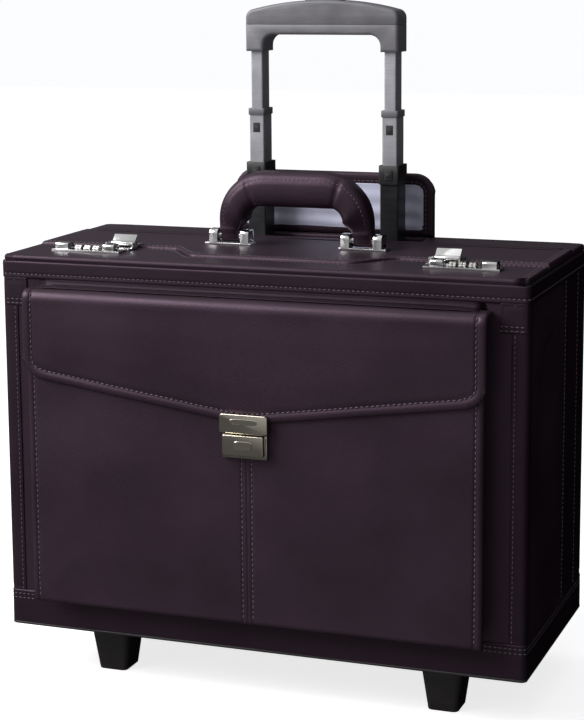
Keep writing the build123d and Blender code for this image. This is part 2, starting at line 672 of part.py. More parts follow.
tang_slot = (press_middle - tang_height - press_travel - play, press_middle + tang_height + play)
pocket_lock -= block((-tang_half - play, tang_half + play), (box_y[0], tang_rear), tang_slot)
nodes["pocket_lock_body"] = pocket_lock
press_y = (box_y[0] - press_thickness, box_y[0])
press = block((-press_width / 2, press_width / 2), press_y, (press_low, press_high))
press = fillet(press.edges().filter_by(Axis.Y), press_corner)
press += block((-tang_half, tang_half), (box_y[0], tang_rear - play),
               (press_middle - tang_height, press_middle + tang_height))
nodes["pocket_lock_button"] = press

# ---- move everything to the origin at the middle of the base, and write it ----
front_most = box_y[0] - press_thickness
to_origin = Pos(0, -(front_most + case_depth) / 2, foot_height)
os.makedirs("parts", exist_ok=True)
for name, shape in nodes.items():
    pieces = shape if isinstance(shape, list) else [shape]
    solids = [solid for piece in pieces for solid in (to_origin * piece).solids()]
    export_step(Compound(children=solids), f"parts/{name}.step")
print(len(nodes), "nodes")
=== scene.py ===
import math

import bmesh
import bpy
from mathutils import Matrix, Vector, kdtree, noise


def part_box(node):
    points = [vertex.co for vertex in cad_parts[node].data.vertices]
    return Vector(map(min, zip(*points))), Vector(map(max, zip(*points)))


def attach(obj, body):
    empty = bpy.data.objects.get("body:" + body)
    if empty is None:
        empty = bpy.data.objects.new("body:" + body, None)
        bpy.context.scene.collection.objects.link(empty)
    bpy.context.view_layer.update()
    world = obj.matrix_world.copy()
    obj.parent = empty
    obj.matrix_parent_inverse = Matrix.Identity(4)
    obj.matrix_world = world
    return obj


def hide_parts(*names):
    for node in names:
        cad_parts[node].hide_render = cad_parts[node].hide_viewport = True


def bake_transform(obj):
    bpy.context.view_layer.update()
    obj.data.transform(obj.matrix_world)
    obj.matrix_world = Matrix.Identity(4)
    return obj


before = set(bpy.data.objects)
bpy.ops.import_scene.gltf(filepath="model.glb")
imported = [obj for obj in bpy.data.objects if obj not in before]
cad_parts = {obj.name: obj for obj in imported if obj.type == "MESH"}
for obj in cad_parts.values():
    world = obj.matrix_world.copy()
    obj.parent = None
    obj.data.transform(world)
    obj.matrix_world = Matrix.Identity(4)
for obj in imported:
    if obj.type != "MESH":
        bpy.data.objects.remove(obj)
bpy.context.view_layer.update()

# ---- Studio ----
# A pale floor under a white surround that is brighter on the left and in front, with a large
# soft lamp high on the left. The camera stands a little to the right, looking slightly down.
scene = bpy.context.scene
scene.view_settings.view_transform = "Standard"


def node(tree, kind, inputs=None, **settings):
    """A node with its settings; each input is a value or an output socket to link from."""
    made = tree.nodes.new(kind)
    for name, value in settings.items():
        setattr(made, name, value)
    for name, value in (inputs or {}).items():
        if isinstance(value, bpy.types.NodeSocket):
            tree.links.new(value, made.inputs[name])
        else:
            made.inputs[name].default_value = value
    return made


def maths(tree, operation, *values):
    """The result of a sum on values or sockets."""
    return node(tree, "ShaderNodeMath", dict(enumerate(values)), operation=operation).outputs[0]


world = bpy.data.worlds.new("soft_surround")
scene.world = world
world.use_nodes = True
sky = world.node_tree
sky.nodes.clear()
direction = node(sky, "ShaderNodeTexCoord")
axes = node(sky, "ShaderNodeSeparateXYZ", {0: direction.outputs["Generated"]})
upward = node(sky, "ShaderNodeMapRange", {0: axes.outputs["Z"], 1: -0.25, 2: 0.9, 3: 0.12, 4: 1.05})
rightward = maths(sky, "ADD", axes.outputs["X"], axes.outputs["Y"])
fading = node(sky, "ShaderNodeMapRange", {0: rightward, 1: -1.2, 2: 1.0, 3: 1.0, 4: 0.0})
level = maths(sky, "MULTIPLY", upward.outputs[0], fading.outputs[0])
seen = node(sky, "ShaderNodeLightPath")
shown = node(sky, "ShaderNodeMix", {0: seen.outputs["Is Camera Ray"], 2: level, 3: 1.0})
surround = node(sky, "ShaderNodeBackground",
                {"Color": (0.97, 0.98, 1.0, 1.0), "Strength": shown.outputs[0]})
node(sky, "ShaderNodeOutputWorld", {"Surface": surround.outputs[0]})

floor_mesh = bpy.data.meshes.new("floor")
floor_half = 8.0
floor_corners = [(x * floor_half, y * floor_half, 0) for x, y in ((-1, -1), (1, -1), (1, 1), (-1, 1))]
floor_mesh.from_pydata(floor_corners, [], [(0, 1, 2, 3)])
floor = bpy.data.objects.new("floor", floor_mesh)
scene.collection.objects.link(floor)
floor.visible_glossy = False
paper = bpy.data.materials.new("studio_paper")
paper.use_nodes = True
paper_shader = paper.node_tree.nodes["Principled BSDF"]
paper_shader.inputs["Base Color"].default_value = (0.60, 0.60, 0.60, 1.0)
paper_shader.inputs["Roughness"].default_value = 0.9
paper_shader.inputs["Emission Color"].default_value = (1.0, 1.0, 1.0, 1.0)
floor_ray = node(paper.node_tree, "ShaderNodeLightPath").outputs["Is Camera Ray"]
glow = maths(paper.node_tree, "MULTIPLY", floor_ray, 0.78)
paper.node_tree.links.new(glow, paper_shader.inputs["Emission Strength"])
floor_mesh.materials.append(paper)


def soft_lamp(name, place, aim, size, power):
    """A square area lamp at place, turned towards aim."""
    lamp = bpy.data.lights.new(name, "AREA")
    lamp.size = size
    lamp.energy = power
    holder = bpy.data.objects.new(name, lamp)
    holder.location = place
    holder.rotation_euler = (Vector(aim) - Vector(place)).to_track_quat("-Z", "Y").to_euler()
    scene.collection.objects.link(holder)


soft_lamp("key_lamp", (-1.45, -1.10, 1.65), (0, 0, 0.3), 1.4, 66)
soft_lamp("top_lamp", (0.1, 0.5, 2.2), (0, 0, 0.3), 1.4, 4)
soft_lamp("side_lamp", (2.2, -0.9, 0.9), (0, 0, 0.3), 1.0, 0.5)

camera_data = bpy.data.cameras.new("camera")
camera_data.lens = 98.6
camera_data.shift_y = -60 / 720
camera = bpy.data.objects.new("camera", camera_data)
scene.collection.objects.link(camera)
scene.camera = camera
turn, tip, roll = (math.radians(angle) for angle in (20.28, 9.55, -0.39))
ahead = Vector((-math.sin(turn) * math.cos(tip), math.cos(turn) * math.cos(tip), -math.sin(tip)))
across = Vector((math.cos(turn), math.sin(turn), 0))
upright = across.cross(ahead)
view_x = across * math.cos(roll) + upright * math.sin(roll)
view_y = upright * math.cos(roll) - across * math.sin(roll)
camera.matrix_world = (Matrix.Translation((0.5922, -1.6013, 0.6261))
                       @ Matrix((view_x, view_y, -ahead)).transposed().to_4x4())

# ---- Fibre boards ----
# The walls, the floor and the board before the trolley are cut from grey-brown pressed
# fibre board. They show only inside, behind the lining and down the trolley's slot.


def plain_material(name):
    """An empty material: its tree, its shader, and the place on the object as coordinates."""
    material = bpy.data.materials.new(name)
    material.use_nodes = True
    tree = material.node_tree
    place = node(tree, "ShaderNodeTexCoord").outputs["Object"]
    return material, tree, tree.nodes["Principled BSDF"], place


def two_tones(tree, mask, dark, light):
    """A colour between dark and light by a mask from 0 to 1."""
    blend = node(tree, "ShaderNodeMix", {"Factor": mask}, data_type="RGBA")
    blend.inputs[6].default_value = (*dark, 1.0)
    blend.inputs[7].default_value = (*light, 1.0)
    return blend.outputs[2]


def spread(tree, value, low, high):
    """A 0 to 1 value mapped to low to high."""
    return node(tree, "ShaderNodeMapRange", {0: value, 3: low, 4: high}).outputs[0]


def noise_mask(tree, vector, scale, detail, rough=0.5):
    """Cloudy noise as a mask from 0 to 1."""
    inputs = {"Vector": vector, "Scale": scale, "Detail": detail, "Roughness": rough}
    return node(tree, "ShaderNodeTexNoise", inputs).outputs[0]


def dress(tree, colour, rough=None, relief=None):
    """Gives a shader a colour (mask, dark, light), a roughness (mask, low, high) and a bump
    (height, strength, distance)."""
    shader = tree.nodes["Principled BSDF"]
    tree.links.new(two_tones(tree, *colour), shader.inputs["Base Color"])
    if rough:
        tree.links.new(spread(tree, *rough), shader.inputs["Roughness"])
    if relief:
        inputs = dict(zip(("Height", "Strength", "Distance"), relief))
        tree.links.new(node(tree, "ShaderNodeBump", inputs).outputs[0], shader.inputs["Normal"])


fibre_board, tree, shader, place = plain_material("fibre_board")
fibres = noise_mask(tree, place, 420.0, 5.0, 0.7)
clumps = noise_mask(tree, place, 35.0, 3.0)
dress(tree, (clumps, (0.085, 0.07, 0.055), (0.15, 0.125, 0.10)), (fibres, 0.75, 0.95),
      (fibres, 0.5, 0.0004))


def finish_node(name, material):
    """A CAD node that keeps its shape and gets a material."""
    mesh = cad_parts[name].data
    mesh.materials.clear()
    mesh.materials.append(material)


for board in ("front_board", "back_board", "side_board_right", "side_board_left", "bottom_board",
              "partition_board"):
    finish_node(board, fibre_board)

# ---- Leather wrap ----
# Black bonded leather with a faint plum cast, glued round the boards. Its joints are
# covered by strips at the corners and a band round the mouth, each sewn down.
shell_low, shell_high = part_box("leather_wrap")
half_width = shell_high[0]
shell_front = shell_low[1]
shell_rear = shell_high[1]
shell_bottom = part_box("base_band")[0][2]
band_top = shell_low[2]
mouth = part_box("mouth_frame")[1][2]
shell_corner = 0.0042


def new_group(name, kind, inputs, outputs):
    """A node group's tree; inputs are (name, socket kind, default or None), outputs are (name, kind)."""
    tree = bpy.data.node_groups.new(name, kind)
    for socket_name, socket_kind, value in inputs:
        socket = tree.interface.new_socket(name=socket_name, in_out="INPUT",
                                           socket_type="NodeSocket" + socket_kind)
        if value is not None:
            socket.default_value = value
    for socket_name, socket_kind in outputs:
        tree.interface.new_socket(name=socket_name, in_out="OUTPUT", socket_type="NodeSocket" + socket_kind)
    return tree, node(tree, "NodeGroupInput").outputs


def make_grain():
    """Leather grain: pebbles with fine pores between them, soft creases and a cloudy tint."""
    tree, given = new_group("leather_grain", "ShaderNodeTree",
                            (("Vector", "Vector", None), ("Scale", "Float", 1100.0)),
                            (("Height", "Float"), ("Mottle", "Float")))
    vector = given["Vector"]
    warp = node(tree, "ShaderNodeTexNoise", {"Vector": vector, "Scale": 260.0, "Detail": 2.0})
    shifted = node(tree, "ShaderNodeVectorMath", {0: warp.outputs["Color"], 3: 0.0012}, operation="SCALE")
    warped = node(tree, "ShaderNodeVectorMath", {0: vector, 1: shifted.outputs[0]},
                  operation="ADD").outputs[0]
    pebbles = node(tree, "ShaderNodeTexVoronoi", {"Vector": warped, "Scale": given["Scale"]},
                   feature="SMOOTH_F1")
    domes = node(tree, "ShaderNodeMapRange",
                 {0: pebbles.outputs["Distance"], 1: 0.1, 2: 0.75, 3: 1.0, 4: 0.0})
    creases = noise_mask(tree, vector, 55.0, 6.0, 0.6)
    both = maths(tree, "MULTIPLY_ADD", creases, 1.1, maths(tree, "MULTIPLY", domes.outputs[0], 0.55))
    clouds = noise_mask(tree, vector, 11.0, 4.0, 0.55)
    cloudy = node(tree, "ShaderNodeMapRange", {0: clouds, 1: 0.3, 2: 0.7})
    node(tree, "NodeGroupOutput", {"Height": both, "Mottle": cloudy.outputs[0]})
    return tree


leather_grain = make_grain()


def grouped(tree, group, vector, scale):
    """A shader group placed in a material, with its vector and scale."""
    placed = node(tree, "ShaderNodeGroup", {}, node_tree=group)
    tree.links.new(vector, placed.inputs["Vector"])
    placed.inputs["Scale"].default_value = scale
    return placed


def leather(name, dark, light, smooth, rough, grain=1100.0, relief=0.22):
    """A leather: two tones, roughness between smooth and rough, grain cells per metre and relief."""
    material, tree, shader, place = plain_material(name)
    surface = grouped(tree, leather_grain, place, grain)
    mottle = surface.outputs["Mottle"]
    dress(tree, (mottle, dark, light), (mottle, smooth, rough), (surface.outputs["Height"], relief, 0.0005))
    shader.inputs["Specular IOR Level"].default_value = 0.42
    shader.inputs["Specular Tint"].default_value = (1.0, 0.70, 0.92, 1.0)
    return material


case_leather = leather("case_leather", (0.0150, 0.0080, 0.0130), (0.0220, 0.0125, 0.0195), 0.40, 0.48)
# The second leather is the case leather painted darker: painted shade for the bands, corner strips, gusset,
# hinge tapes and cover flap.
shade_darkened_leather = leather("shade_darkened_leather", (0.0072, 0.0034, 0.0060), (0.0112, 0.0058, 0.0096), 0.44, 0.54)
thread, tree, shader, place = plain_material("bonded_thread")
strands = noise_mask(tree, place, 2600.0, 2.0)
dress(tree, (strands, (0.058, 0.040, 0.053), (0.120, 0.090, 0.112)), relief=(strands, 0.6, 0.0002))
shader.inputs["Roughness"].default_value = 0.62


def linked(name, mesh, material, crease=None):
    """An object in the scene from a finished mesh; edges sharper than crease degrees stay sharp."""
    mesh.name = name
    mesh.materials.clear()
    mesh.materials.append(material)
    mesh.shade_smooth()
    if crease:
        mesh.set_sharp_from_angle(angle=math.radians(crease))
    piece = bpy.data.objects.new(name, mesh)
    scene.collection.objects.link(piece)
    return piece


def add_piece(name, mesh, material, body, replaced=(), crease=None):
    """A finished mesh as a piece that rides on a body and stands for the replaced nodes."""
    piece = linked(name, mesh, material, crease)
    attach(piece, body)
    if replaced:
        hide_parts(*replaced)
    return piece


def mesh_of(name, work):
    """A mesh from a bmesh, its faces turned outwards."""
    bmesh.ops.recalc_face_normals(work, faces=work.faces)
    mesh = bpy.data.meshes.new(name)
    work.to_mesh(mesh)
    work.free()
    return mesh


def mesh_from(name, points, faces, merge=0.0):
    """A mesh whose faces look outwards, with points closer than merge made one."""
    work = bmesh.new()
    verts = [work.verts.new(point) for point in points]
    for face in faces:
        work.faces.new([verts[index] for index in face])
    if merge:
        bmesh.ops.remove_doubles(work, verts=work.verts, dist=merge)
    return mesh_of(name, work)


def ring_solid(name, loops, closed=True):
    """A solid whose skin runs through loops of equal length, and back to the first one or capped."""
    size = len(loops[0])
    points = [point for loop in loops for point in loop]
    faces = []
    for row in range(len(loops) if closed else len(loops) - 1):
        here, there = row * size, (row + 1) % len(loops) * size
        faces += [(here + part, here + (part + 1) % size, there + (part + 1) % size, there + part)
                  for part in range(size)]
    if not closed:
        faces += [tuple(range(size))[::-1], tuple(len(points) - size + part for part in range(size))]
    return mesh_from(name, points, faces)


def shell_path(distance):
    """A point and its outward direction on the shell's outline.

    The distance runs anticlockwise seen from above, from the middle of the front.
    """
    wide = half_width - shell_corner
    deep = (shell_rear - shell_front) / 2 - shell_corner
    middle_y = (shell_rear + shell_front) / 2
    arc = shell_corner * math.pi / 2
    legs = ((wide, (1, 0)), (2 * deep, (0, 1)), (2 * wide, (-1, 0)), (2 * deep, (0, -1)), (wide, (1, 0)))
    corners = ((wide, -deep), (wide, deep), (-wide, deep), (-wide, -deep))
    starts = ((0, -deep), (wide, -deep), (wide, deep), (-wide, deep), (-wide, -deep))
    left = distance % (2 * wide * 2 + 4 * deep + 4 * arc)
    for number, (length, along) in enumerate(legs):
        outward = Vector((along[1], -along[0], 0))
        if left <= length or number == 4:
            start = Vector((*starts[number], 0))
            spot = start + Vector((*along, 0)) * left + outward * shell_corner
            return spot + Vector((0, middle_y, 0)), outward
        left -= length
        if left <= arc:
            angle = left / arc * math.pi / 2
            outward = outward * math.cos(angle) + Vector((*along, 0)) * math.sin(angle)
            spot = Vector((*corners[number], 0)) + outward * shell_corner
            return spot + Vector((0, middle_y, 0)), outward
        left -= arc


corner_arc = shell_corner * math.pi / 2
to_corner = half_width - shell_corner                   # from the middle of the front to its end
along_side = shell_rear - shell_front - 2 * shell_corner
side_start = to_corner + corner_arc
rear_start = side_start + along_side + corner_arc
round_shell = 4 * to_corner + 2 * along_side + 4 * corner_arc


def on_shell(distance, height, out):
    """The point at a height, standing out from the leather's outer face."""
    spot, outward = shell_path(distance)
    return Vector((spot.x, spot.y, height)) + outward * out


edge_steps = (0.0, 0.0003, 0.0009, 0.0018, 0.0030)       # rows that follow a turned edge


def spaced(low, high, step, fine=()):
    """Values from low to high about a step apart, with the offsets in fine added at both ends."""
    inner = max(fine, default=0.0)
    count = max(1, round((high - low - 2 * inner) / step))
    middle = [low + inner + (high - low - 2 * inner) * place / count for place in range(count + 1)]
    ends = [offset for offset in fine if offset < inner]
    return [low + offset for offset in ends] + middle + [high - offset for offset in reversed(ends)]


def side_crease(distance, height):
    """Depth of the fold that runs up and back across each side wall."""
    if distance > round_shell / 2:
        distance = round_shell - distance
    back = distance - side_start
    if not 0 < back < along_side:
        return 0.0
    fold_height = shell_bottom + 0.240 + back * 0.42
    away = (height - fold_height) / 0.0045
    fade = max(0.0, 1 - abs(back - 0.058) / 0.072)
    return 0.0011 * math.exp(-away * away) * min(1.0, 2 * fade)


def wrap_relief(distance, height):
    """Slow unevenness of glued leather, and the folds on the sides."""
    spot, _ = shell_path(distance)
    soft = noise.noise(Vector((spot.x * 14, spot.y * 14, height * 14))) * 0.00022
    return soft - side_crease(distance, height) - 0.00022


legs = ((0, to_corner), (side_start, side_start + along_side), (rear_start, rear_start + 2 * to_corner),
        (round_shell / 2 + to_corner + corner_arc, round_shell - side_start),
        (round_shell - to_corner, round_shell))
wrap_steps = []
for low, high in legs:
    wrap_steps += spaced(low, high, 0.0040)
    wrap_steps += [high + corner_arc * place / 6 for place in range(1, 6)] if high < round_shell else []
wrap_steps = sorted(set(round(step, 6) for step in wrap_steps))[:-1]


def ring_shell(name, heights, outer, thickness):
    """A closed wall round the shell: outer(distance, height) gives how far its face stands out."""
    loops = [[on_shell(distance, height,
                       outer(distance, height)) for distance in wrap_steps] for height in heights]
    loops += [[on_shell(distance, height,
                        -thickness) for distance in wrap_steps] for height in reversed(heights)]
    return ring_solid(name, loops)


wrap_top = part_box("leather_wrap")[1][2]
wrap_heights = spaced(band_top + 0.0002, wrap_top, 0.0045, (0.0, 0.0006))
add_piece("leather_wrap_skin", ring_shell("wrap", wrap_heights, wrap_relief, 0.0012),
          case_leather, "case", ("leather_wrap",))


def sheet_slab(name, a_values, b_values, low, high, place, top, bottom=None, rim_step=0.0005):
    """A closed sheet over a(along) and b(across); b_values are squeezed between low(a) and high(a).

    place(a, b, c) puts it in space. top(d, a, b) and bottom(d, a, b) give its faces' heights c,
    where d is the distance from the nearest edge.
    """
    rim = []
    for a in spaced(a_values[0], a_values[-1], rim_step):
        rim += [(a, low(a)), (a, high(a))]
    for a in (a_values[0], a_values[-1]):
        rim += [(a, b) for b in spaced(low(a), high(a), rim_step)]
    tree = kdtree.KDTree(len(rim))
    for index, (a, b) in enumerate(rim):
        tree.insert((a, b, 0), index)
    tree.balance()
    uppers, lowers, points, faces = {}, {}, [], []
    last_a, last_b = len(a_values) - 1, len(b_values) - 1
    for row, a in enumerate(a_values):
        for column, value in enumerate(b_values):
            share = (value - b_values[0]) / (b_values[-1] - b_values[0])
            b = low(a) + (high(a) - low(a)) * share
            on_rim = row in (0, last_a) or column in (0, last_b)
            away = 0.0 if on_rim else tree.find((a, b, 0))[2]
            uppers[row, column] = lowers[row, column] = len(points)
            points.append(place(a, b, top(away, a, b)))
            if not on_rim:
                lowers[row, column] = len(points)
                points.append(place(a, b, bottom(away, a, b) if bottom else 0.0))
    for row in range(last_a):
        for column in range(last_b):
            ring = ((row, column), (row + 1, column), (row + 1, column + 1), (row, column + 1))
            faces.append([uppers[key] for key in ring])
            faces.append([lowers[key] for key in reversed(ring)])
    return mesh_from(name, points, faces, merge=1e-6)


def slab(name, a_span, low, high, place, top, bottom=None, step=0.004, fine=edge_steps):
    """sheet_slab() on evenly spaced rows, denser at its edges."""
    a_values = spaced(*a_span, step, fine)
    widest = max(high(a) - low(a) for a in a_values)
    return sheet_slab(name, a_values, spaced(0.0, widest, step, fine), low, high, place, top, bottom)


def rolled(distance, radius):
    """How far a turned edge has risen, from 0 at the edge to 1 at its radius."""
    if distance >= radius:
        return 1.0
    return math.sqrt(max(0.0, 1 - (1 - distance / radius) ** 2))


def groove(distance, centre, width, depth):
    """A shallow channel that a seam pulls into padded leather."""
    away = (distance - centre) / width
    return -depth * math.exp(-away * away)


def strip_top(thickness, seam=0.0025):
    return lambda d, a, b: thickness * rolled(d, 0.0011) + groove(d, seam, 0.0010, 0.00034)


def shell_strip(name, start, end, low, high, thickness, step=0.004):
    """A strip sewn over the wrap, between two distances round the shell and two heights."""
    return slab(name, (start, end), lambda a: low, lambda a: high, on_shell, strip_top(thickness),
                step=step)


def joined(meshes):
    """Several meshes as one."""
    work = bmesh.new()
    for mesh in meshes:
        work.from_mesh(mesh)
        bpy.data.meshes.remove(mesh)
    whole = bpy.data.meshes.new("joined")
    work.to_mesh(whole)
    work.free()
    return whole


band_low = mouth - 0.0155                     # band sewn round the mouth
edge_strip = 0.010                            # corner strip's width on the front
patch_low = shell_bottom + 0.2905
rear_strip = 0.128 - shell_corner             # where the rear strips start on the sides
strip_low = band_top + 0.0004
strip_skin = 0.0007
front_strips, rear_strips, corner_patches = [], [], []
for side in (1, -1):
    front_span = sorted((side * (to_corner - edge_strip), side * (side_start + 0.005)))
    front_strips.append(shell_strip("front_strip", *front_span, strip_low, band_low + 0.001, strip_skin,
                                    0.002))
    patch_span = sorted((side * (to_corner - 0.0195), side * (to_corner + corner_arc / 2)))
    corner_patches.append(slab("corner_patch", patch_span, lambda a: patch_low, lambda a: band_low + 0.001,
                               lambda a, b, c: on_shell(a, b, c + strip_skin * 0.6), strip_top(0.0007),
                               step=0.002))
    rear_span = sorted((side * (side_start + rear_strip), side * (rear_start + 0.017)))
    rear_strips.append(shell_strip("rear_strip", *rear_span, strip_low, band_low + 0.001, strip_skin,
                                   0.0025))
add_piece("front_corner_strips", joined(front_strips), shade_darkened_leather, "case")
add_piece("front_corner_patches", joined(corner_patches), shade_darkened_leather, "case")
add_piece("rear_corner_strips", joined(rear_strips), shade_darkened_leather, "case")


def mouth_band_face(distance, height):
    away = min(height - band_low, mouth - 0.0002 - height)
    seam = groove(height - band_low, 0.004, 0.0010, 0.0003)
    return 0.0013 * rolled(away,
                           0.0013) + seam + 0.0001 * noise.noise(Vector((distance * 30, height * 60, 0)))


mouth_band_heights = spaced(band_low, mouth - 0.0002, 0.0010, (0.0, 0.0003, 0.0008))
add_piece("mouth_band", ring_shell("mouth_band", mouth_band_heights, mouth_band_face, 0.0004),
          shade_darkened_leather, "case")


def make_stitch_tree():
    """Stitches along a line: short waxed threads a pitch apart, each a little uneven."""
    sizes = (("Pitch", "Float", 0.0036), ("Stitch Length", "Float", 0.0026),
             ("Thread Radius", "Float", 0.00035))
    tree, given = new_group("sewn_row", "GeometryNodeTree",
                            (("Geometry", "Geometry", None), *sizes, ("Seed", "Int", 3),
                             ("Thread", "Material", None)),
                            (("Geometry", "Geometry"),))
    line = node(tree, "GeometryNodeMeshToCurve", {"Mesh": given["Geometry"]})
    places = node(tree, "GeometryNodeCurveToPoints", {"Curve": line.outputs[0], "Length": given["Pitch"]},
                  mode="LENGTH")
    bead = node(tree, "GeometryNodeMeshUVSphere", {"Segments": 6, "Rings": 4, "Radius": 1.0})
    uneven = node(tree, "FunctionNodeRandomValue", {2: 0.86, 3: 1.1, "Seed": given["Seed"]},
                  data_type="FLOAT")
    half_length = maths(tree, "MULTIPLY", maths(tree, "MULTIPLY", given["Stitch Length"], 0.5),
                        uneven.outputs[1])
    thread_size = node(tree, "ShaderNodeCombineXYZ",
                       {0: given["Thread Radius"], 1: given["Thread Radius"], 2: half_length})
    tilt = node(tree, "FunctionNodeRandomValue",
                {0: (-0.1, -0.1, 0.0), 1: (0.1, 0.1, 0.0), "Seed": given["Seed"]},
                data_type="FLOAT_VECTOR")
    turned = node(tree, "FunctionNodeRotateRotation",
                  {"Rotation": places.outputs["Rotation"], "Rotate By": tilt.outputs[0]},
                  rotation_space="LOCAL")
    sewn = node(tree, "GeometryNodeInstanceOnPoints",
                {"Points": places.outputs["Points"], "Instance": bead.outputs[0],
                                                       "Rotation": turned.outputs[0],
                 "Scale": thread_size.outputs[0]})
    real = node(tree, "GeometryNodeRealizeInstances", {0: sewn.outputs[0]})
    dressed = node(tree, "GeometryNodeSetMaterial",
                   {"Geometry": real.outputs[0], "Material": given["Thread"]})
    node(tree, "NodeGroupOutput", {0: dressed.outputs[0]})
    return tree


stitch_tree = make_stitch_tree()


def held(data):
    """An object that holds data in the scene for a while."""
    holder = bpy.data.objects.new("holder", data)
    scene.collection.objects.link(holder)
    return holder


def baked(holder):
    """The plain mesh that a held object shows; the holder goes."""
    result = bpy.data.meshes.new_from_object(holder.evaluated_get(bpy.context.evaluated_depsgraph_get()))
    bpy.data.objects.remove(holder)
    return result


def applied(mesh, tree, values):
    """The plain mesh that a Geometry Nodes tree makes from a mesh; values are by input name."""
    holder = held(mesh)
    modifier = holder.modifiers.new("nodes", "NODES")
    modifier.node_group = tree
    for socket in tree.interface.items_tree:
        if socket.in_out == "INPUT" and socket.name in values:
            modifier[socket.identifier] = values[socket.name]
    result = baked(holder)
    bpy.data.meshes.remove(mesh)
    return result


def sew(name, rows, body, pitch=0.0042, length=0.0030, radius=0.00046, seed=3):
    """Rows of stitches as one piece; each row is a list of points on the leather's face."""
    points, edges = [], []
    for row in rows:
        edges += [(len(points) + place, len(points) + place + 1) for place in range(len(row) - 1)]
        points += [tuple(point) for point in row]
    mesh = bpy.data.meshes.new(name)
    mesh.from_pydata(points, edges, [])
    values = {"Pitch": pitch, "Stitch Length": length, "Thread Radius": radius, "Seed": seed,
              "Thread": thread}
    return add_piece(name, applied(mesh, stitch_tree, values), thread, body)


def ring_row(height, out):
    """A row all round the shell."""
    return [on_shell(distance, height, out) for distance in wrap_steps + wrap_steps[:1]]


def upright_row(distance, out, low=strip_low + 0.002, high=band_low - 0.001):
    return [on_shell(distance, height, out) for height in spaced(low, high, 0.02)]


wrap_rows = [ring_row(band_low + 0.004, 0.0011)]
for side in (1, -1):
    wrap_rows.append(upright_row(side * (to_corner - edge_strip + 0.0028), strip_skin - 0.0001))
    wrap_rows.append(upright_row(side * (side_start + rear_strip + 0.003), strip_skin - 0.0001))
    wrap_rows.append(upright_row(side * (side_start + rear_strip + 0.050), strip_skin))
    wrap_rows.append(upright_row(side * (rear_start + 0.014), strip_skin - 0.0001))
    for rise in (0.0022, 0.0056):
        patch_ends = spaced(side * (to_corner - 0.0185), side * (to_corner - 0.001), 0.004)
        wrap_rows.append([on_shell(distance, patch_low + rise, 0.0011) for distance in patch_ends])
sew("wrap_stitches", wrap_rows, "case")

# ---- Base band ----
# A protective band of thicker leather round the foot of the case, turned under the base
# and sewn with two rows, with a hard brown-black welt let into the bottom edge.
band_stand = 0.0012


def base_band_face(distance, height):
    from_top = band_top + 0.0010 - height
    from_bottom = height - shell_bottom
    rise = rolled(from_top, 0.0012) * rolled(from_bottom + 0.0004, 0.0030)
    seams = groove(from_top, 0.0040, 0.0009, 0.0003) + groove(from_top, 0.0078, 0.0009, 0.0003)
    waves = 0.00025 * noise.noise(Vector((distance * 9, height * 22, 4.0)))
    return (band_stand + 0.0012) * rise - 0.0012 + seams + waves


band_heights = spaced(shell_bottom + 0.0002, band_top + 0.0010, 0.0022,
                      (0.0, 0.0005, 0.0012, 0.0022, 0.0040))
add_piece("base_band_skin", ring_shell("base_band", band_heights, base_band_face, 0.0013),
          shade_darkened_leather, "case")
base_y = (shell_front + 0.0012, shell_rear - 0.0012)
base_cover = slab("base_cover", (-half_width + 0.0012, half_width - 0.0012), lambda a: base_y[0],
                  lambda a: base_y[1],
                  lambda a, b, c: Vector((a, b, shell_bottom + 0.0014 - c)), lambda d, a,
                  b: 0.0011 * rolled(d, 0.002),
                  step=0.012)
add_piece("base_cover", base_cover, shade_darkened_leather, "case", ("base_band",))

welt_plastic, tree, shader, place = plain_material("welt_plastic")
scuffs = noise_mask(tree, place, 160.0, 4.0)
dress(tree, (scuffs, (0.010, 0.008, 0.009), (0.020, 0.016, 0.017)), (scuffs, 0.5, 0.7))
welt_radius = 0.0015
welt_loops = []
for distance in wrap_steps:
    angles = [math.tau * corner / 8 for corner in range(8)]
    welt_loops.append([on_shell(distance, shell_bottom + welt_radius * (1 + math.sin(angle)),
                                0.0001 + welt_radius * math.cos(angle)) for angle in angles])
add_piece("base_welt", ring_solid("base_welt", welt_loops), welt_plastic, "case")
sew("base_band_stitches",
    [ring_row(band_top - 0.0030, band_stand - 0.0002), ring_row(band_top - 0.0068, band_stand - 0.0002)],
    "case", seed=5)

# ---- Mouth frame ----
# A pressed steel frame, painted black, that holds the top of the boards square. It shows
# when a lid is open.


def make_marks():
    """Fine scratches and handling marks, as a mask from 0 to 1."""
    tree, given = new_group("handling_marks", "ShaderNodeTree",
                            (("Vector", "Vector", None), ("Scale", "Float", 300.0)),
                            (("Marks", "Float"),))
    long_way = node(tree, "ShaderNodeVectorMath", {0: given["Vector"], 1: (0.12, 1.0, 1.0)},
                    operation="MULTIPLY")
    scratches = noise_mask(tree, long_way.outputs[0], given["Scale"], 6.0, 0.75)
    smudges = noise_mask(tree, given["Vector"], 45.0, 2.0)
    marks = node(tree, "ShaderNodeMapRange",
                 {0: maths(tree, "MULTIPLY", scratches, smudges), 1: 0.12, 2: 0.42})
    node(tree, "NodeGroupOutput", {0: marks.outputs[0]})
    return tree


handling_marks = make_marks()


def metal(name, clean, worn, smooth, rough, metallic=1.0, scale=300.0, relief=0.08):
    """A metal or painted metal: clean and worn colours, roughness range, and shallow marks."""
    material, tree, shader, place = plain_material(name)
    marks = grouped(tree, handling_marks, place, scale).outputs[0]
    dress(tree, (marks, clean, worn), (marks, smooth, rough), (marks, relief, 0.0002))
    shader.inputs["Metallic"].default_value = metallic
    return material


painted_steel = metal("painted_steel", (0.02, 0.02, 0.022), (0.045, 0.045, 0.047), 0.34, 0.5, 0.0)
finish_node("mouth_frame", painted_steel)

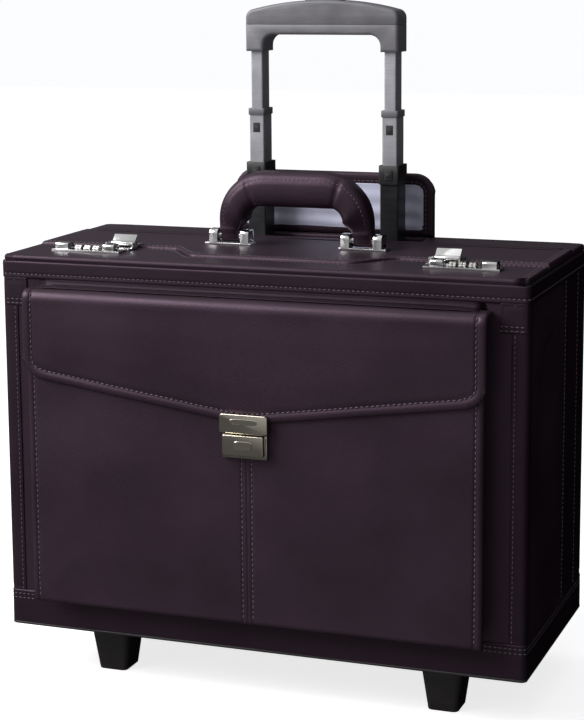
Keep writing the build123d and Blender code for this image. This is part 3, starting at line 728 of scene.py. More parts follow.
# ---- Compartment lining and file divider ----
# Grey-brown woven lining cloth glued inside the compartment, with a turned hem round its
# top, and a loose divider board covered in the same cloth.
lining_cloth, tree, shader, place = plain_material("lining_cloth")
warp_threads = node(tree, "ShaderNodeTexWave", {"Vector": place, "Scale": 380.0, "Distortion": 0.4},
                    bands_direction="DIAGONAL")
slubs = noise_mask(tree, place, 90.0, 5.0)
woven = maths(tree, "MULTIPLY", warp_threads.outputs["Fac"], slubs)
dress(tree, (woven, (0.055, 0.052, 0.055), (0.16, 0.15, 0.155)), (slubs, 0.75, 0.95), (woven, 0.4, 0.0003))
shader.inputs["Sheen Weight"].default_value = 0.25

lining_low, lining_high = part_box("compartment_lining")
lining_thick = 0.0009
lining_corner = 0.007
lining_centre = (Vector(lining_low) + Vector(lining_high)) / 2


def rounded_loop(half_x, half_y, corner, centre_y=0.0, count=12, steps=(50, 10)):
    """A loop of points round a rounded rectangle, the same number of points whatever its size."""
    quarters = ((1, 1), (-1, 1), (-1, -1), (1, -1))

    def corner_point(quarter, turn):
        side_x, side_y = quarters[quarter % 4]
        angle = math.pi / 2 * turn
        return Vector((side_x * (half_x - corner) + corner * math.cos(angle),
                       centre_y + side_y * (half_y - corner) + corner * math.sin(angle), 0))
    loop = []
    for quarter in range(4):
        loop += [corner_point(quarter, quarter + part / count) for part in range(count + 1)]
        start, end, rows = loop[-1], corner_point(quarter + 1, quarter + 1), steps[quarter % 2]
        loop += [start.lerp(end, part / rows) for part in range(1, rows)]
    return loop


def lining_ring(inset, height, shrink=1.0):
    """A round-cornered loop inside the compartment."""
    wide = (lining_high[0] - lining_low[0]) / 2 - inset
    deep = (lining_high[1] - lining_low[1]) / 2 - inset
    ring = []
    for x, y, _ in rounded_loop(wide, deep, max(lining_corner - inset, 0.001), count=6, steps=(24, 10)):
        wave = 0.0006 * noise.noise(Vector((x * 12, y * 12, height * 9))) if inset > 0.0005 else 0.0
        ring.append(Vector((lining_centre.x + (x - wave) * shrink, lining_centre.y + (y - wave) * shrink,
                            height)))
    return ring


hem = lining_high[2] - 0.0002
lining_rings = [lining_ring(0.0001, height) for height in spaced(lining_low[2] + 0.0002, hem, 0.02)]
lining_rings += [lining_ring(lining_thick + 0.0007 * (hem - height < 0.012), height)
                 for height in reversed(spaced(lining_low[2] + lining_thick + 0.004, hem, 0.012))]
lining_rings += [lining_ring(lining_thick + 0.004, lining_low[2] + lining_thick,
                             shrink) for shrink in (1.0, 0.8, 0.6, 0.4, 0.2)]
lining = add_piece("compartment_lining_cloth", ring_solid("lining", lining_rings, closed=False),
                   lining_cloth, "case", ("compartment_lining",), crease=50)

divider_low, divider_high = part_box("file_divider")
divider_half = (divider_high[1] - divider_low[1]) / 2


def divider_place(a, b, c):
    return Vector((a, divider_high[1] - divider_half - c, b))


def divider_face(d, a, b):
    bound = 0.00035 * (b > divider_high[2] - 0.009)
    return (divider_half - 0.0004) * rolled(d, 0.0014) + bound


divider = slab("divider", (divider_low[0], divider_high[0]), lambda a: divider_low[2],
               lambda a: divider_high[2],
               divider_place, divider_face, lambda d, a, b: -divider_face(d, a, b), step=0.009)
add_piece("file_divider_covered", divider, lining_cloth, "case", ("file_divider",))
hem_row = lining_ring(lining_thick + 0.0008, hem - 0.008)
divider_row = [divider_place(a, divider_high[2] - 0.007, divider_half) for a in spaced(-0.225, 0.225, 0.02)]
sew("lining_stitches", [hem_row + hem_row[:1], divider_row], "case", seed=8)

# ---- Front pocket: gusset and panel ----
# A flat pocket on the front. Its gusset is one strip of thin leather folded inwards like a
# bellows; the panel is foam-backed leather in two halves, sewn at the edges and down the middle.
gusset_low, gusset_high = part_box("pocket_gusset")
panel_low, panel_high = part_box("pocket_panel")
gusset_corner = 0.010
gusset_fold = 0.0065
gusset_skin = 0.0009


def gusset_line():
    """The gusset's outer line down one side, along the bottom and up, with inward directions."""
    heights = spaced(gusset_high[2], gusset_low[2] + gusset_corner, 0.008)
    line = [(gusset_low[0], height, 1, 0) for height in heights]
    for side in (-1, 1):
        centre_x = side * (gusset_high[0] - gusset_corner)
        arc = []
        for part in range(7):
            angle = math.pi / 2 * part / 6
            arc.append((centre_x + side * gusset_corner * math.cos(angle),
                        gusset_low[2] + gusset_corner - gusset_corner * math.sin(angle),
                        -side * math.cos(angle), math.sin(angle)))
        line += arc[1:] if side < 0 else arc[::-1]
        if side < 0:
            across = spaced(gusset_low[0] + gusset_corner, gusset_high[0] - gusset_corner, 0.008)
            line += [(x, gusset_low[2], 0, 1) for x in across][1:-1]
    return line + [(gusset_high[0], height, -1, 0) for height in reversed(heights)][1:]


def gusset_sheet(extra):
    rows = []
    for x, z, in_x, in_z in gusset_line():
        row = []
        for part in range(13):
            depth = part / 12
            fold = (1 - abs(2 * depth - 1)) ** 0.85 * gusset_fold
            slack = 0.0006 * noise.noise(Vector((x * 30, z * 30, depth * 2)))
            inward = fold + extra + slack * math.sin(math.pi * depth)
            row.append(Vector((x + in_x * inward, panel_high[1] + (shell_front - panel_high[1]) * depth,
                               z + in_z * inward)))
        rows.append(row)
    return rows


outer_rows, inner_rows = gusset_sheet(0.0002), gusset_sheet(gusset_skin)
loops = [outer + inner[::-1] for outer, inner in zip(outer_rows, inner_rows)]
add_piece("pocket_gusset_folded", ring_solid("gusset", loops, closed=False),
          shade_darkened_leather, "case", ("pocket_gusset",), crease=40)

panel_thick = panel_high[1] - panel_low[1]
panel_seam = 0.0070                          # stitches from the panel's edge
middle_seam = 0.0045                         # stitches each side of the middle seam
flap_rise = 0.0290 / 0.206                   # how steeply the flap's lower edge climbs
flap_point = shell_bottom + 0.205
panel_puff = 0.0017


def smooth_step(value, low, high):
    share = min(1.0, max(0.0, (value - low) / (high - low)))
    return share * share * (3 - 2 * share)


def panel_face(d, x, z):
    below_flap = flap_point + flap_rise * abs(x) - z
    puff = panel_puff * smooth_step(below_flap, 0.004, 0.06) * smooth_step(d, panel_seam + 0.001, 0.06)
    puff *= 1 - 0.85 * math.exp(-(abs(x) / 0.020) ** 2)
    seam = groove(panel_high[0] - abs(x), panel_seam, 0.0015, 0.0008)
    seam += groove(abs(x), middle_seam, 0.0013, 0.0006)
    parting = -0.0006 * math.exp(-(x / 0.0005) ** 2)
    unevenness = 0.00018 * noise.noise(Vector((x * 16, z * 12, 2.0)))
    relief = (puff + seam + parting + unevenness) * smooth_step(d, 0.0, 0.003)
    return panel_thick * rolled(d, 0.0038) + relief


def panel_place(a, b, c):
    return Vector((a, panel_high[1] - c, b))


def seamed_values(low, high, step, seams, width=0.0030):
    """Values about a step apart, denser near each seam."""
    values = set(round(value, 6) for value in spaced(low, high, step, edge_steps))
    for seam in seams:
        values |= set(round(seam + width * part / 5, 6) for part in range(-5, 6))
    return sorted(value for value in values if low <= value <= high)


panel_x = seamed_values(panel_low[0], panel_high[0], 0.0035,
                        (panel_low[0] + panel_seam, panel_high[0] - panel_seam, -middle_seam, 0.0,
                         middle_seam))
panel_z = seamed_values(panel_low[2], panel_high[2], 0.0035, (panel_low[2] + panel_seam,))
panel_mesh = sheet_slab("panel", panel_x, panel_z, lambda a: panel_low[2], lambda a: panel_high[2],
                        panel_place, panel_face)
panel = add_piece("pocket_panel_padded", panel_mesh, case_leather, "case", ("pocket_panel",))


def panel_row(points):
    """Stitches on the panel through (x, z) points."""
    row = []
    for (x1, z1), (x2, z2) in zip(points, points[1:]):
        count = max(1, round(math.hypot(x2 - x1, z2 - z1) / 0.004))
        row += [(x1 + (x2 - x1) * part / count, z1 + (z2 - z1) * part / count) for part in range(count)]
    row.append(points[-1])
    on_panel = []
    for x, z in row:
        away = min(x - panel_low[0], panel_high[0] - x, z - panel_low[2], panel_high[2] - z)
        on_panel.append(panel_place(x, z, panel_face(away, x, z) + 0.0001))
    return on_panel


panel_stitch = (panel_high[0] - panel_seam, panel_low[2] + panel_seam)
button_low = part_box("pocket_lock_body")[0][2]
panel_rows = []
for side in (-1, 1):
    panel_rows.append(panel_row([(side * panel_stitch[0], panel_high[2] - 0.01),
                                 (side * panel_stitch[0], panel_stitch[1])]))
    panel_rows.append(panel_row([(side * middle_seam, button_low - 0.001),
                                 (side * middle_seam, panel_low[2] + panel_seam)]))
sew("pocket_panel_stitches", panel_rows, "case", pitch=0.0046, length=0.0032, radius=0.00058, seed=7)

# ---- Pocket flap ----
# A foam-backed leather flap that hangs over the pocket from a sewn hinge under the mouth
# band. Its edge is turned and sewn, and its lower edge comes down to the lock in a shallow V.
flap_low, flap_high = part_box("pocket_flap")
flap_thick = 0.003
flap_bend = 0.005
flap_back = flap_low[1] + flap_thick
flap_under = flap_high[2] - flap_thick
flap_level = flap_high[1] - 0.0003 - (flap_back + flap_bend)        # straight part from the hinge
flap_arc = flap_bend * math.pi / 2
flap_corner = 0.018
flap_slope = math.atan(flap_rise)
corner_x = flap_high[0] - flap_corner
corner_z = flap_point + flap_rise * corner_x + flap_corner / math.cos(flap_slope)


def flap_edge(x):
    """Height of the flap's lower edge."""
    x = abs(x)
    if x > corner_x + flap_corner * math.sin(flap_slope):
        return corner_z - math.sqrt(max(0.0, flap_corner ** 2 - (x - corner_x) ** 2))
    return flap_point + flap_rise * math.sqrt(x * x + 0.00004) - flap_rise * 0.0063


def flap_length(x):
    return flap_level + flap_arc + (flap_under - flap_bend) - flap_edge(x)


def flap_place(a, b, c):
    """b runs from the hinge forward, round the bend and down; c stands out from the flap's back."""
    if b < flap_level:
        return Vector((a, flap_high[1] - 0.0003 - b, flap_under + c))
    if b < flap_level + flap_arc:
        angle = (b - flap_level) / flap_bend
        reach = flap_bend + c
        return Vector((a, flap_back + flap_bend - reach * math.sin(angle),
                       flap_under - flap_bend + reach * math.cos(angle)))
    return Vector((a, flap_back - c, flap_under - flap_bend - (b - flap_level - flap_arc)))


flap_seam = 0.0085


def flap_face(d, a, b):
    puff = 0.0007 * smooth_step(d, flap_seam, 0.035) * smooth_step(b, 0.025, 0.05)
    lip = 0.0004 * math.exp(-((d - 0.004) / 0.0022) ** 2)
    seam = groove(d, flap_seam, 0.0014, 0.0008) * smooth_step(b, 0.010, 0.016)
    unevenness = 0.00016 * noise.noise(Vector((a * 15, b * 13, 5.0)))
    relief = (puff + lip + seam + unevenness) * smooth_step(d, 0.0, 0.003)
    return (flap_thick - 0.0004) * rolled(d, 0.0020) + relief


flap_x = seamed_values(flap_low[0], flap_high[0], 0.0035,
                       (flap_low[0] + flap_seam, flap_high[0] - flap_seam, 0.0))
flap_b = spaced(0.0, flap_length(0.0), 0.0035, edge_steps + (0.0045, 0.006, 0.0075, 0.009, 0.0105, 0.012))
flap_mesh = sheet_slab("flap", flap_x, flap_b, lambda a: 0.0, flap_length, flap_place, flap_face)
flap = add_piece("pocket_flap_padded", flap_mesh, case_leather, "pocket_flap", ("pocket_flap",))

seam_x = flap_high[0] - flap_seam


def flap_stitch_line():
    """(a, b) points a seam's distance inside the flap's sides and lower edge."""
    inner_corner = flap_corner - flap_seam
    line = [(-seam_x, b) for b in spaced(0.020, flap_length(corner_x) - flap_corner, 0.006)]
    sweep = math.pi / 2 - flap_slope
    for side in (-1, 1):
        arc = []
        for part in range(9):
            angle = sweep * part / 8
            x = side * (corner_x + inner_corner * math.cos(angle))
            z = corner_z - inner_corner * math.sin(angle)
            arc.append((x, flap_level + flap_arc + flap_under - flap_bend - z))
        if side < 0:
            line = [point for point in line if point[1] < arc[0][1]] + arc
            rise = flap_seam / math.cos(flap_slope)
            for x in spaced(-corner_x + 0.003, corner_x - 0.003, 0.005):
                line.append((x, flap_length(x) - rise))
        else:
            line += arc[::-1]
    line += [(seam_x, b) for b in reversed(spaced(0.020, arc[0][1] - 0.002, 0.006))]
    return line


flap_row = [flap_place(a, b, flap_thick - 0.0004 - 0.0002) for a, b in flap_stitch_line()]
sew("pocket_flap_stitches", [flap_row], "pocket_flap", pitch=0.0046, length=0.0032, radius=0.00056, seed=11)

flap_tape_line = [(shell_front - 0.0003, band_low + 0.003), (shell_front - 0.0006, band_low - 0.002),
                  (shell_front - 0.0012, band_low - 0.0045), (shell_front - 0.003, flap_high[2] + 0.0006),
                  (shell_front - 0.006, flap_high[2] + 0.0002),
                  (shell_front - 0.012, flap_high[2] + 0.0002)]


tape_skin, tape_sink = 0.0005, 0.0011


def tape_place(line, thickness, half):
    """place() for a sheet that follows a (y, z) line; b from 0 to 1 along it. Its ends sink in."""
    def place(a, b, c):
        share = min(max(b, 0.0), 1.0) * (len(line) - 1)
        step = min(int(share), len(line) - 2)
        (y1, z1), (y2, z2) = line[step], line[step + 1]
        part = share - step
        along = Vector((0, y2 - y1, z2 - z1)).normalized()
        out = Vector((0, along.z, -along.y))
        sink = tape_sink * (1 - smooth_step(half - abs(a), 0.0, 0.014))
        return Vector((a, y1 + (y2 - y1) * part, z1 + (z2 - z1) * part)) + out * (c * thickness - sink)
    return place


def tape(name, line, half, step=0.01):
    """A leather hinge tape across the case, following (y, z) points."""
    follow = tape_place(line, tape_skin, half)
    rows = max(18, 4 * len(line))
    shares = [part / rows for part in range(rows + 1)]
    mesh = sheet_slab(name, spaced(-half, half, step), shares, lambda a: 0.0, lambda a: 1.0, follow,
                      lambda d, a, b: 0.5 * rolled(d, 0.04) + 0.5, lambda d, a, b: 0.0, rim_step=0.02)
    piece = linked(name, mesh, shade_darkened_leather)
    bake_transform(piece)


tape("flap_hinge_tape", flap_tape_line, flap_high[0] - 0.006)

# ---- Pocket lock ----
# A pressed and nickel-plated press lock: a plate with a rolled lower lip on the flap, a box
# on the panel and a broad button. The face is plain.
nickel = metal("warm_nickel", (0.60, 0.55, 0.46), (0.42, 0.38, 0.32), 0.14, 0.30, scale=420.0)


def softened(name, width, segments=2, angle=30):
    """A CAD node's shape as a plain mesh with its edges broken by a small round."""
    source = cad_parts[name].data
    work = bmesh.new()
    work.from_mesh(source)
    bmesh.ops.remove_doubles(work, verts=work.verts, dist=2e-6)
    bmesh.ops.dissolve_limit(work, angle_limit=math.radians(0.6), verts=work.verts, edges=work.edges)
    mesh = bpy.data.meshes.new(name + "_soft")
    work.to_mesh(mesh)
    work.free()
    holder = held(mesh)
    rounding = holder.modifiers.new("rounding", "BEVEL")
    rounding.width = width
    rounding.segments = segments
    rounding.limit_method = "ANGLE"
    rounding.angle_limit = math.radians(angle)
    rounding.harden_normals = True
    rounding.use_clamp_overlap = True
    mesh.shade_smooth()
    result = baked(holder)
    bpy.data.meshes.remove(mesh)
    return result


def soften_node(name, material, width, body, segments=2, angle=30, crease=45):
    return add_piece(name + "_finished", softened(name, width, segments, angle), material, body,
                     (name,), crease)


soften_node("pocket_lock_plate", nickel, 0.0006, "pocket_flap")
soften_node("pocket_lock_body", nickel, 0.0006, "case")
soften_node("pocket_lock_button", nickel, 0.0008, "pocket_button", 3)
plate_low, plate_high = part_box("pocket_lock_plate")
press_low, press_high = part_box("pocket_lock_button")
work = bmesh.new()
for centre_z, front, half_x, half_z in (((press_low[2] + press_high[2]) / 2, press_low[1], 0.0085, 0.0042),
                                        (plate_high[2] - 0.0062, plate_low[1], 0.0125, 0.0026)):
    ring_in, ring_out = [], []
    for part in range(40):
        angle = math.tau * part / 40
        shape = Vector((abs(math.cos(angle)) ** 0.5 * math.copysign(1, math.cos(angle)), 0,
                        abs(math.sin(angle)) ** 0.5 * math.copysign(1, math.sin(angle))))
        ring_out.append(work.verts.new((shape.x * half_x, front + 0.0002, centre_z + shape.z * half_z)))
        ring_in.append(work.verts.new((shape.x * (half_x - 0.0005), front - 0.0003,
                                       centre_z + shape.z * (half_z - 0.0005))))
    for part in range(40):
        after = (part + 1) % 40
        work.faces.new((ring_out[part], ring_out[after], ring_in[after], ring_in[part]))
    work.faces.new(ring_in)
    work.faces.new(ring_out[::-1])
bmesh.ops.recalc_face_normals(work, faces=work.faces)
halves = [work.copy(), work]
for half_work, keep_button in zip(halves, (True, False)):
    unwanted = [vert for vert in half_work.verts if (vert.co.z < plate_low[2]) != keep_button]
    bmesh.ops.delete(half_work, geom=unwanted, context="VERTS")
    boss = bpy.data.meshes.new("boss")
    half_work.to_mesh(boss)
    half_work.free()
    add_piece("press_button_boss" if keep_button else "lock_plate_boss", boss, nickel,
              "pocket_button" if keep_button else "pocket_flap", crease=40)

# ---- Lids ----
# Two stiff lids covered in the same leather over thin foam, which meet along a seam with a
# curved tongue under the carry handle. Each is lined, and turns on a leather hinge tape.
front_low, front_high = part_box("front_lid_panel")
rear_low, rear_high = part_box("rear_lid_panel")
seam_gap = 0.001
tongue_half, tongue_shoulder = 0.070, 0.105
seam_level = front_high[1] + seam_gap / 2
tongue_level = rear_low[1] - seam_gap / 2
lid_side = half_width - 0.0002
lid_corner = 0.0045


def seam_line(x):
    """Where the lids meet, in Y."""
    return tongue_level + (seam_level - tongue_level) * smooth_step(abs(x), tongue_half, tongue_shoulder)


def front_edge(x):
    """The front lid's front edge, with rounded corners."""
    past = max(0.0, abs(x) - (lid_side - lid_corner))
    return front_low[1] + lid_corner - math.sqrt(max(0.0, lid_corner ** 2 - past ** 2))


def lid_top(thickness, roll=0.0022):
    """Face of a lid whose edge line lies two fifths of the way up."""
    def face(d, a, b):
        relief = groove(d, 0.0040, 0.0009, 0.00025) + 0.00014 * noise.noise(Vector((a * 13, b * 13, 9.0)))
        return thickness * (0.4 + 0.6 * rolled(d, roll)) + relief * smooth_step(d, 0, 0.002)
    return face


def lid_bottom(thickness):
    return lambda d, a, b: thickness * 0.4 * (1 - rolled(d, 0.0012))


def lid_place(a, b, c):
    return Vector((a, b, front_low[2] + c))


lid_x = seamed_values(-lid_side, lid_side, 0.0045,
                      (-tongue_half, tongue_half, -tongue_shoulder, tongue_shoulder), 0.012)
front_thick = front_high[2] - front_low[2]
rear_thick = rear_high[2] - rear_low[2]
lid_b = spaced(0.0, front_high[1] - front_low[1], 0.0045, edge_steps + (0.0040, 0.0052))
front_lid = sheet_slab("front_lid", lid_x, lid_b, front_edge, lambda a: seam_line(a) - seam_gap / 2,
                       lid_place,
                       lid_top(front_thick), lid_bottom(front_thick))
lid_piece = add_piece("front_lid_covered", front_lid, case_leather, "front_lid",
                      ("front_lid_panel",))
rear_lid = sheet_slab("rear_lid", lid_x, lid_b, lambda a: seam_line(a) + seam_gap / 2,
                      lambda a: rear_high[1], lid_place,
                      lid_top(rear_thick), lid_bottom(rear_thick))
lid_piece = add_piece("rear_lid_covered", rear_lid, case_leather, "rear_lid",
                      ("rear_lid_panel",))


def lid_row(points, thickness):
    return [lid_place(x, y, thickness - 0.0001) for x, y in points]


lid_inset = 0.0045
for end, out, rows_low, rows_high, thick, seed in (
        ("front", -1, front_low[1] + 0.012, seam_level - 0.004, front_thick, 13),
        ("rear", 1, seam_level + 0.004, rear_high[1] - 0.004, rear_thick, 17)):
    lid_rows = [lid_row([(side * (lid_side - inset), y) for y in spaced(rows_low, rows_high, 0.01)], thick)
                for side in (1, -1) for inset in (0.0038, 0.0072)]
    seam_row = []
    for x in spaced(-lid_side + 0.004, lid_side - 0.004, 0.004):
        on_shoulder = tongue_half < abs(x) < tongue_shoulder
        seam_row.append((x, seam_line(x) + out * (lid_inset + 0.003 * on_shoulder)))
    lid_rows.append(lid_row(seam_row, thick))
    sew(f"{end}_lid_stitches", lid_rows, f"{end}_lid", seed=seed)

lined_side = lining_high[0] - 0.004
for name, body, low, high in (
        ("front_lid_lining", "front_lid", lambda a: front_low[1] + 0.010, lambda a: seam_line(a) - 0.006),
        ("rear_lid_lining", "rear_lid", lambda a: seam_line(a) + 0.006, lambda a: rear_high[1] - 0.008)):
    lid_lining = slab(name, (-lined_side, lined_side), low, high, lambda a, b,
                      c: lid_place(a, b, 0.0002 - c),
                      lambda d, a, b: 0.0007 * rolled(d, 0.0012), step=0.008)
    add_piece(name, lid_lining, lining_cloth, body)

front_tape = [(shell_front - 0.0001, mouth - 0.002), (shell_front - 0.0005, mouth),
              (shell_front - 0.0008, mouth + 0.0022),
              (shell_front - 0.0005, mouth + 0.0034), (shell_front + 0.0006, front_high[2] - 0.0004),
              (shell_front + 0.0022, front_high[2] - 0.0001), (shell_front + 0.006, front_high[2] - 0.0009)]
tape("front_lid_tape", front_tape, half_width - 0.004)
deck_low, deck_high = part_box("rear_deck")
rear_tape = [(deck_low[1] + 0.0032, deck_high[2] - 0.0006), (deck_low[1] + 0.002, deck_high[2] + 0.0001),
             (deck_low[1], deck_high[2] + 0.0006), (rear_high[1], rear_high[2] + 0.0003),
             (rear_high[1] - 0.004, rear_high[2] + 0.0002), (rear_high[1] - 0.010, rear_high[2] + 0.0001)]
tape("rear_lid_tape", rear_tape, half_width - 0.004)

# ---- Combination locks ----
# Two die-cast three-dial locks, polished and chromed, let into the front lid: a plate with
# its fixed block, three numbered dials on a pin, and a slider that frees the hasp.
chrome = metal("polished_chrome", (0.80, 0.80, 0.79), (0.62, 0.61, 0.60), 0.08, 0.22, scale=500.0,
               relief=0.05)
dial_metal = metal("dial_nickel", (0.62, 0.61, 0.58), (0.45, 0.44, 0.42), 0.18, 0.34, scale=700.0)
digit_paint = metal("digit_paint", (0.012, 0.012, 0.012), (0.03, 0.03, 0.03), 0.5, 0.65, 0.0)
for side in ("right", "left"):
    soften_node(f"lock_case_{side}", chrome, 0.0004, "front_lid")
    soften_node(f"lock_slider_{side}", chrome, 0.0005, f"lock_slider_{side}")
    soften_node(f"hasp_{side}", chrome, 0.0004, f"hasp_{side}")
soften_node("hasp_keepers", chrome, 0.0003, "rear_lid")
finish_node("dial_pins", dial_metal)
finish_node("hasp_pins", chrome)


def make_digit(value):
    """One digit as a thin flat mesh, 3 mm tall, standing along +Z and centred at the origin."""
    curve = bpy.data.curves.new("digit", "FONT")
    curve.body = str(value)
    curve.size = 0.0042
    curve.extrude = 0.00007
    curve.resolution_u = 3
    curve.align_x = "CENTER"
    curve.align_y = "CENTER"
    return baked(held(curve))


digit_meshes = [make_digit(value) for value in range(10)]
dial_profile = ((-1.0, 0.88), (-0.86, 1.0), (0.86, 1.0), (1.0, 0.88))
dial_bore = 0.0011
for side in ("right", "left"):
    for number in (1, 2, 3):
        name = f"dial_{side}_{number}"
        low, high = (Vector(corner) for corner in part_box(name))
        centre = (low + high) / 2
        half_length = (high.x - low.x) / 2
        radius = (high.z - low.z) / 2
        loops = []
        for part in range(100):
            within = part % 10 / 10
            cut = 0.00045 * math.exp(-(min(within, 1 - within) / 0.13) ** 2)
            section = [(reach, radius * share - cut) for reach, share in dial_profile]
            out = Vector((0, math.sin(math.tau * part / 100), math.cos(math.tau * part / 100)))
            loops.append([centre + Vector((reach * half_length, 0, 0)) + out * local
                          for reach, local in section + [(1.0, dial_bore), (-1.0, dial_bore)]])
        add_piece(name + "_numbered", ring_solid(name, loops), dial_metal, name, (name,),
                  crease=35)
        numbers = []
        for value, digit in enumerate(digit_meshes):
            turn = Matrix.Rotation(-math.tau * (value + 0.5) / 10, 4, "X")
            raised = Matrix.Translation((0, 0, radius * 0.998))
            numbers.append(digit.copy())
            numbers[-1].transform(Matrix.Translation(centre) @ turn @ raised)
        add_piece(name + "_digits", joined(numbers), digit_paint, name, crease=30)

# ---- Carry handle ----
# A padded leather handle wrapped over a steel strap, sewn along both edges with a seam
# each side of the hand grip, and held by pins in chromed brackets on the rear lid.
handle_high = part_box("handle_padding")[1]
pin_low, pin_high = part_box("handle_pins")
pivot = Vector((0, (pin_low[1] + pin_high[1]) / 2, (pin_low[2] + pin_high[2]) / 2))
handle_half = handle_high[0]
handle_top = handle_high[2]
handle_round = 0.046
grip_deep = handle_high[1] - pivot.y
leg_z = pivot.z + 0.007
inner_top = handle_top - 0.032
handle_square = 0.72                          # 1 gives a round section, less a squarer one
handle_seam = 0.0062                          # stitches from the outer edge
eye_round = 0.0056                            # round the pins


def outer_arch(t):
    """The handle's outer line from a leg's foot, t = 0, to the middle, t = 1."""
    if t < 0.10:
        return handle_half, leg_z + (handle_top - handle_round - leg_z) * t / 0.10
    if t < 0.74:
        angle = (t - 0.10) / 0.64 * math.pi / 2
        return (handle_half - handle_round + handle_round * math.cos(angle),
                handle_top - handle_round + handle_round * math.sin(angle))
    return (handle_half - handle_round) * (1 - (t - 0.74) / 0.26), handle_top


def inner_arch(t):
    """The opening's line, matched to outer_arch."""
    corner = 0.012
    if t < 0.34:
        share = t / 0.34
        return 0.052 - 0.0075 * share, leg_z + (inner_top - corner - leg_z) * share
    if t < 0.62:
        angle = (t - 0.34) / 0.28 * math.pi / 2
        return 0.0445 - corner + corner * math.cos(angle), inner_top - corner + corner * math.sin(angle)
    return (0.0445 - corner) * (1 - (t - 0.62) / 0.38), inner_top


def grip_section(angle, half_wide, half_deep, seam):
    """A superellipse in (across, deep), with sewn channels near the outer edge."""
    wide = math.copysign(abs(math.cos(angle)) ** handle_square, math.cos(angle)) * half_wide
    deep = math.copysign(abs(math.sin(angle)) ** handle_square, math.sin(angle)) * half_deep
    channel = math.exp(-((wide - (half_wide - handle_seam)) / 0.0012) ** 2)
    deep -= math.copysign(min(abs(deep), 0.0007 * channel * seam), deep)
    return wide, deep


stations = []
for part in range(9):
    share = part / 8
    z = pivot.z - eye_round + (leg_z - pivot.z + eye_round) * share
    eye = math.sqrt(max(0.0, 1 - max(0.0, (pivot.z - z) / eye_round) ** 2))
    deep = max(0.0006, eye_round * eye) + 0.0019 * smooth_step(z, pivot.z, leg_z)
    half_wide = 0.009 - 0.0012 * (1 - eye) + 0.001 * smooth_step(z, pivot.z + 0.003, leg_z)
    stations.append((Vector((0.062, 0, z)), Vector((1, 0, 0)), half_wide, deep, 0.0))
arch_count = 44
for part in range(1, arch_count + 1):
    t = part / arch_count
    outer, inner = outer_arch(t), inner_arch(t)
    middle = Vector(((outer[0] + inner[0]) / 2, 0, (outer[1] + inner[1]) / 2))
    span = Vector((outer[0] - inner[0], 0, outer[1] - inner[1]))
    rise = middle.z - leg_z
    deep = 0.0075 + (grip_deep - 0.0075) * smooth_step(rise, 0.0, 0.020)
    deep -= 0.0017 * math.exp(-((abs(middle.x) - 0.040) / 0.0014) ** 2)
    stations.append((middle, span.normalized(), span.length / 2 - 0.0002, deep - 0.0003, min(1.0, t * 4)))
mirrored = [(Vector((-middle.x, 0, middle.z)), Vector((-out.x, 0, out.z)), wide, deep, seam)
            for middle, out, wide, deep, seam in reversed(stations[:-1])]
stations += mirrored
handle_loops = []
for middle, out, wide, deep, seam in stations:
    loop = []
    for part in range(40):
        across_part, deep_part = grip_section(math.tau * part / 40, wide, deep, seam)
        crinkle = 0.00035 * noise.noise(Vector((middle.x * 45, deep_part * 60, middle.z * 45)))
        loop.append(middle + out * (across_part + crinkle) + Vector((0, pivot.y + deep_part + crinkle, 0)))
    handle_loops.append(loop)
handle = add_piece("carry_handle_padded", ring_solid("handle", handle_loops, closed=False),
                   case_leather, "carry_handle", ("handle_padding",))
handle_rows = []
for face_side in (1, -1):
    row = []
    for middle, out, wide, deep, seam in stations[12:-12]:
        reach = wide - handle_seam
        share = min(1.0, abs(reach) / wide) ** (1 / handle_square)
        height = deep * max(0.0, 1 - share * share) ** (handle_square / 2) - 0.0005
        row.append(middle + out * reach + Vector((0, pivot.y + face_side * height, 0)))
    handle_rows.append(row)
sew("carry_handle_stitches", handle_rows, "carry_handle", pitch=0.0040, length=0.0029, seed=19)
finish_node("handle_strap", painted_steel)
soften_node("handle_brackets", chrome, 0.0006, "rear_lid")
finish_node("handle_pins", chrome)

# ---- Rear deck ----
# A stiff leather-covered deck behind the rear lid, with a long slot that the trolley
# handle comes up through. The slot's edge is turned in and sewn all round.
grip_low, grip_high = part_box("grip_base")
trolley_y = (grip_low[1] + grip_high[1]) / 2
slot_half = (0.092, 0.016)
slot_round = 0.006
deck_centre_y = (deck_low[1] + deck_high[1]) / 2
deck_half_depth = (deck_high[1] - deck_low[1]) / 2


def deck_loop(share, height, outer_inset=0.0, inner_inset=0.0):
    """Between the slot's edge, share 0, and the deck's edge, share 1."""
    inner = rounded_loop(slot_half[0] + inner_inset, slot_half[1] + inner_inset, slot_round + inner_inset,
                         trolley_y)
    outer = rounded_loop(half_width - 0.0002 - outer_inset, deck_half_depth - outer_inset, 0.0042,
                         deck_centre_y)
    return [Vector((*inside.lerp(outside, share).xy, height)) for inside, outside in zip(inner, outer)]


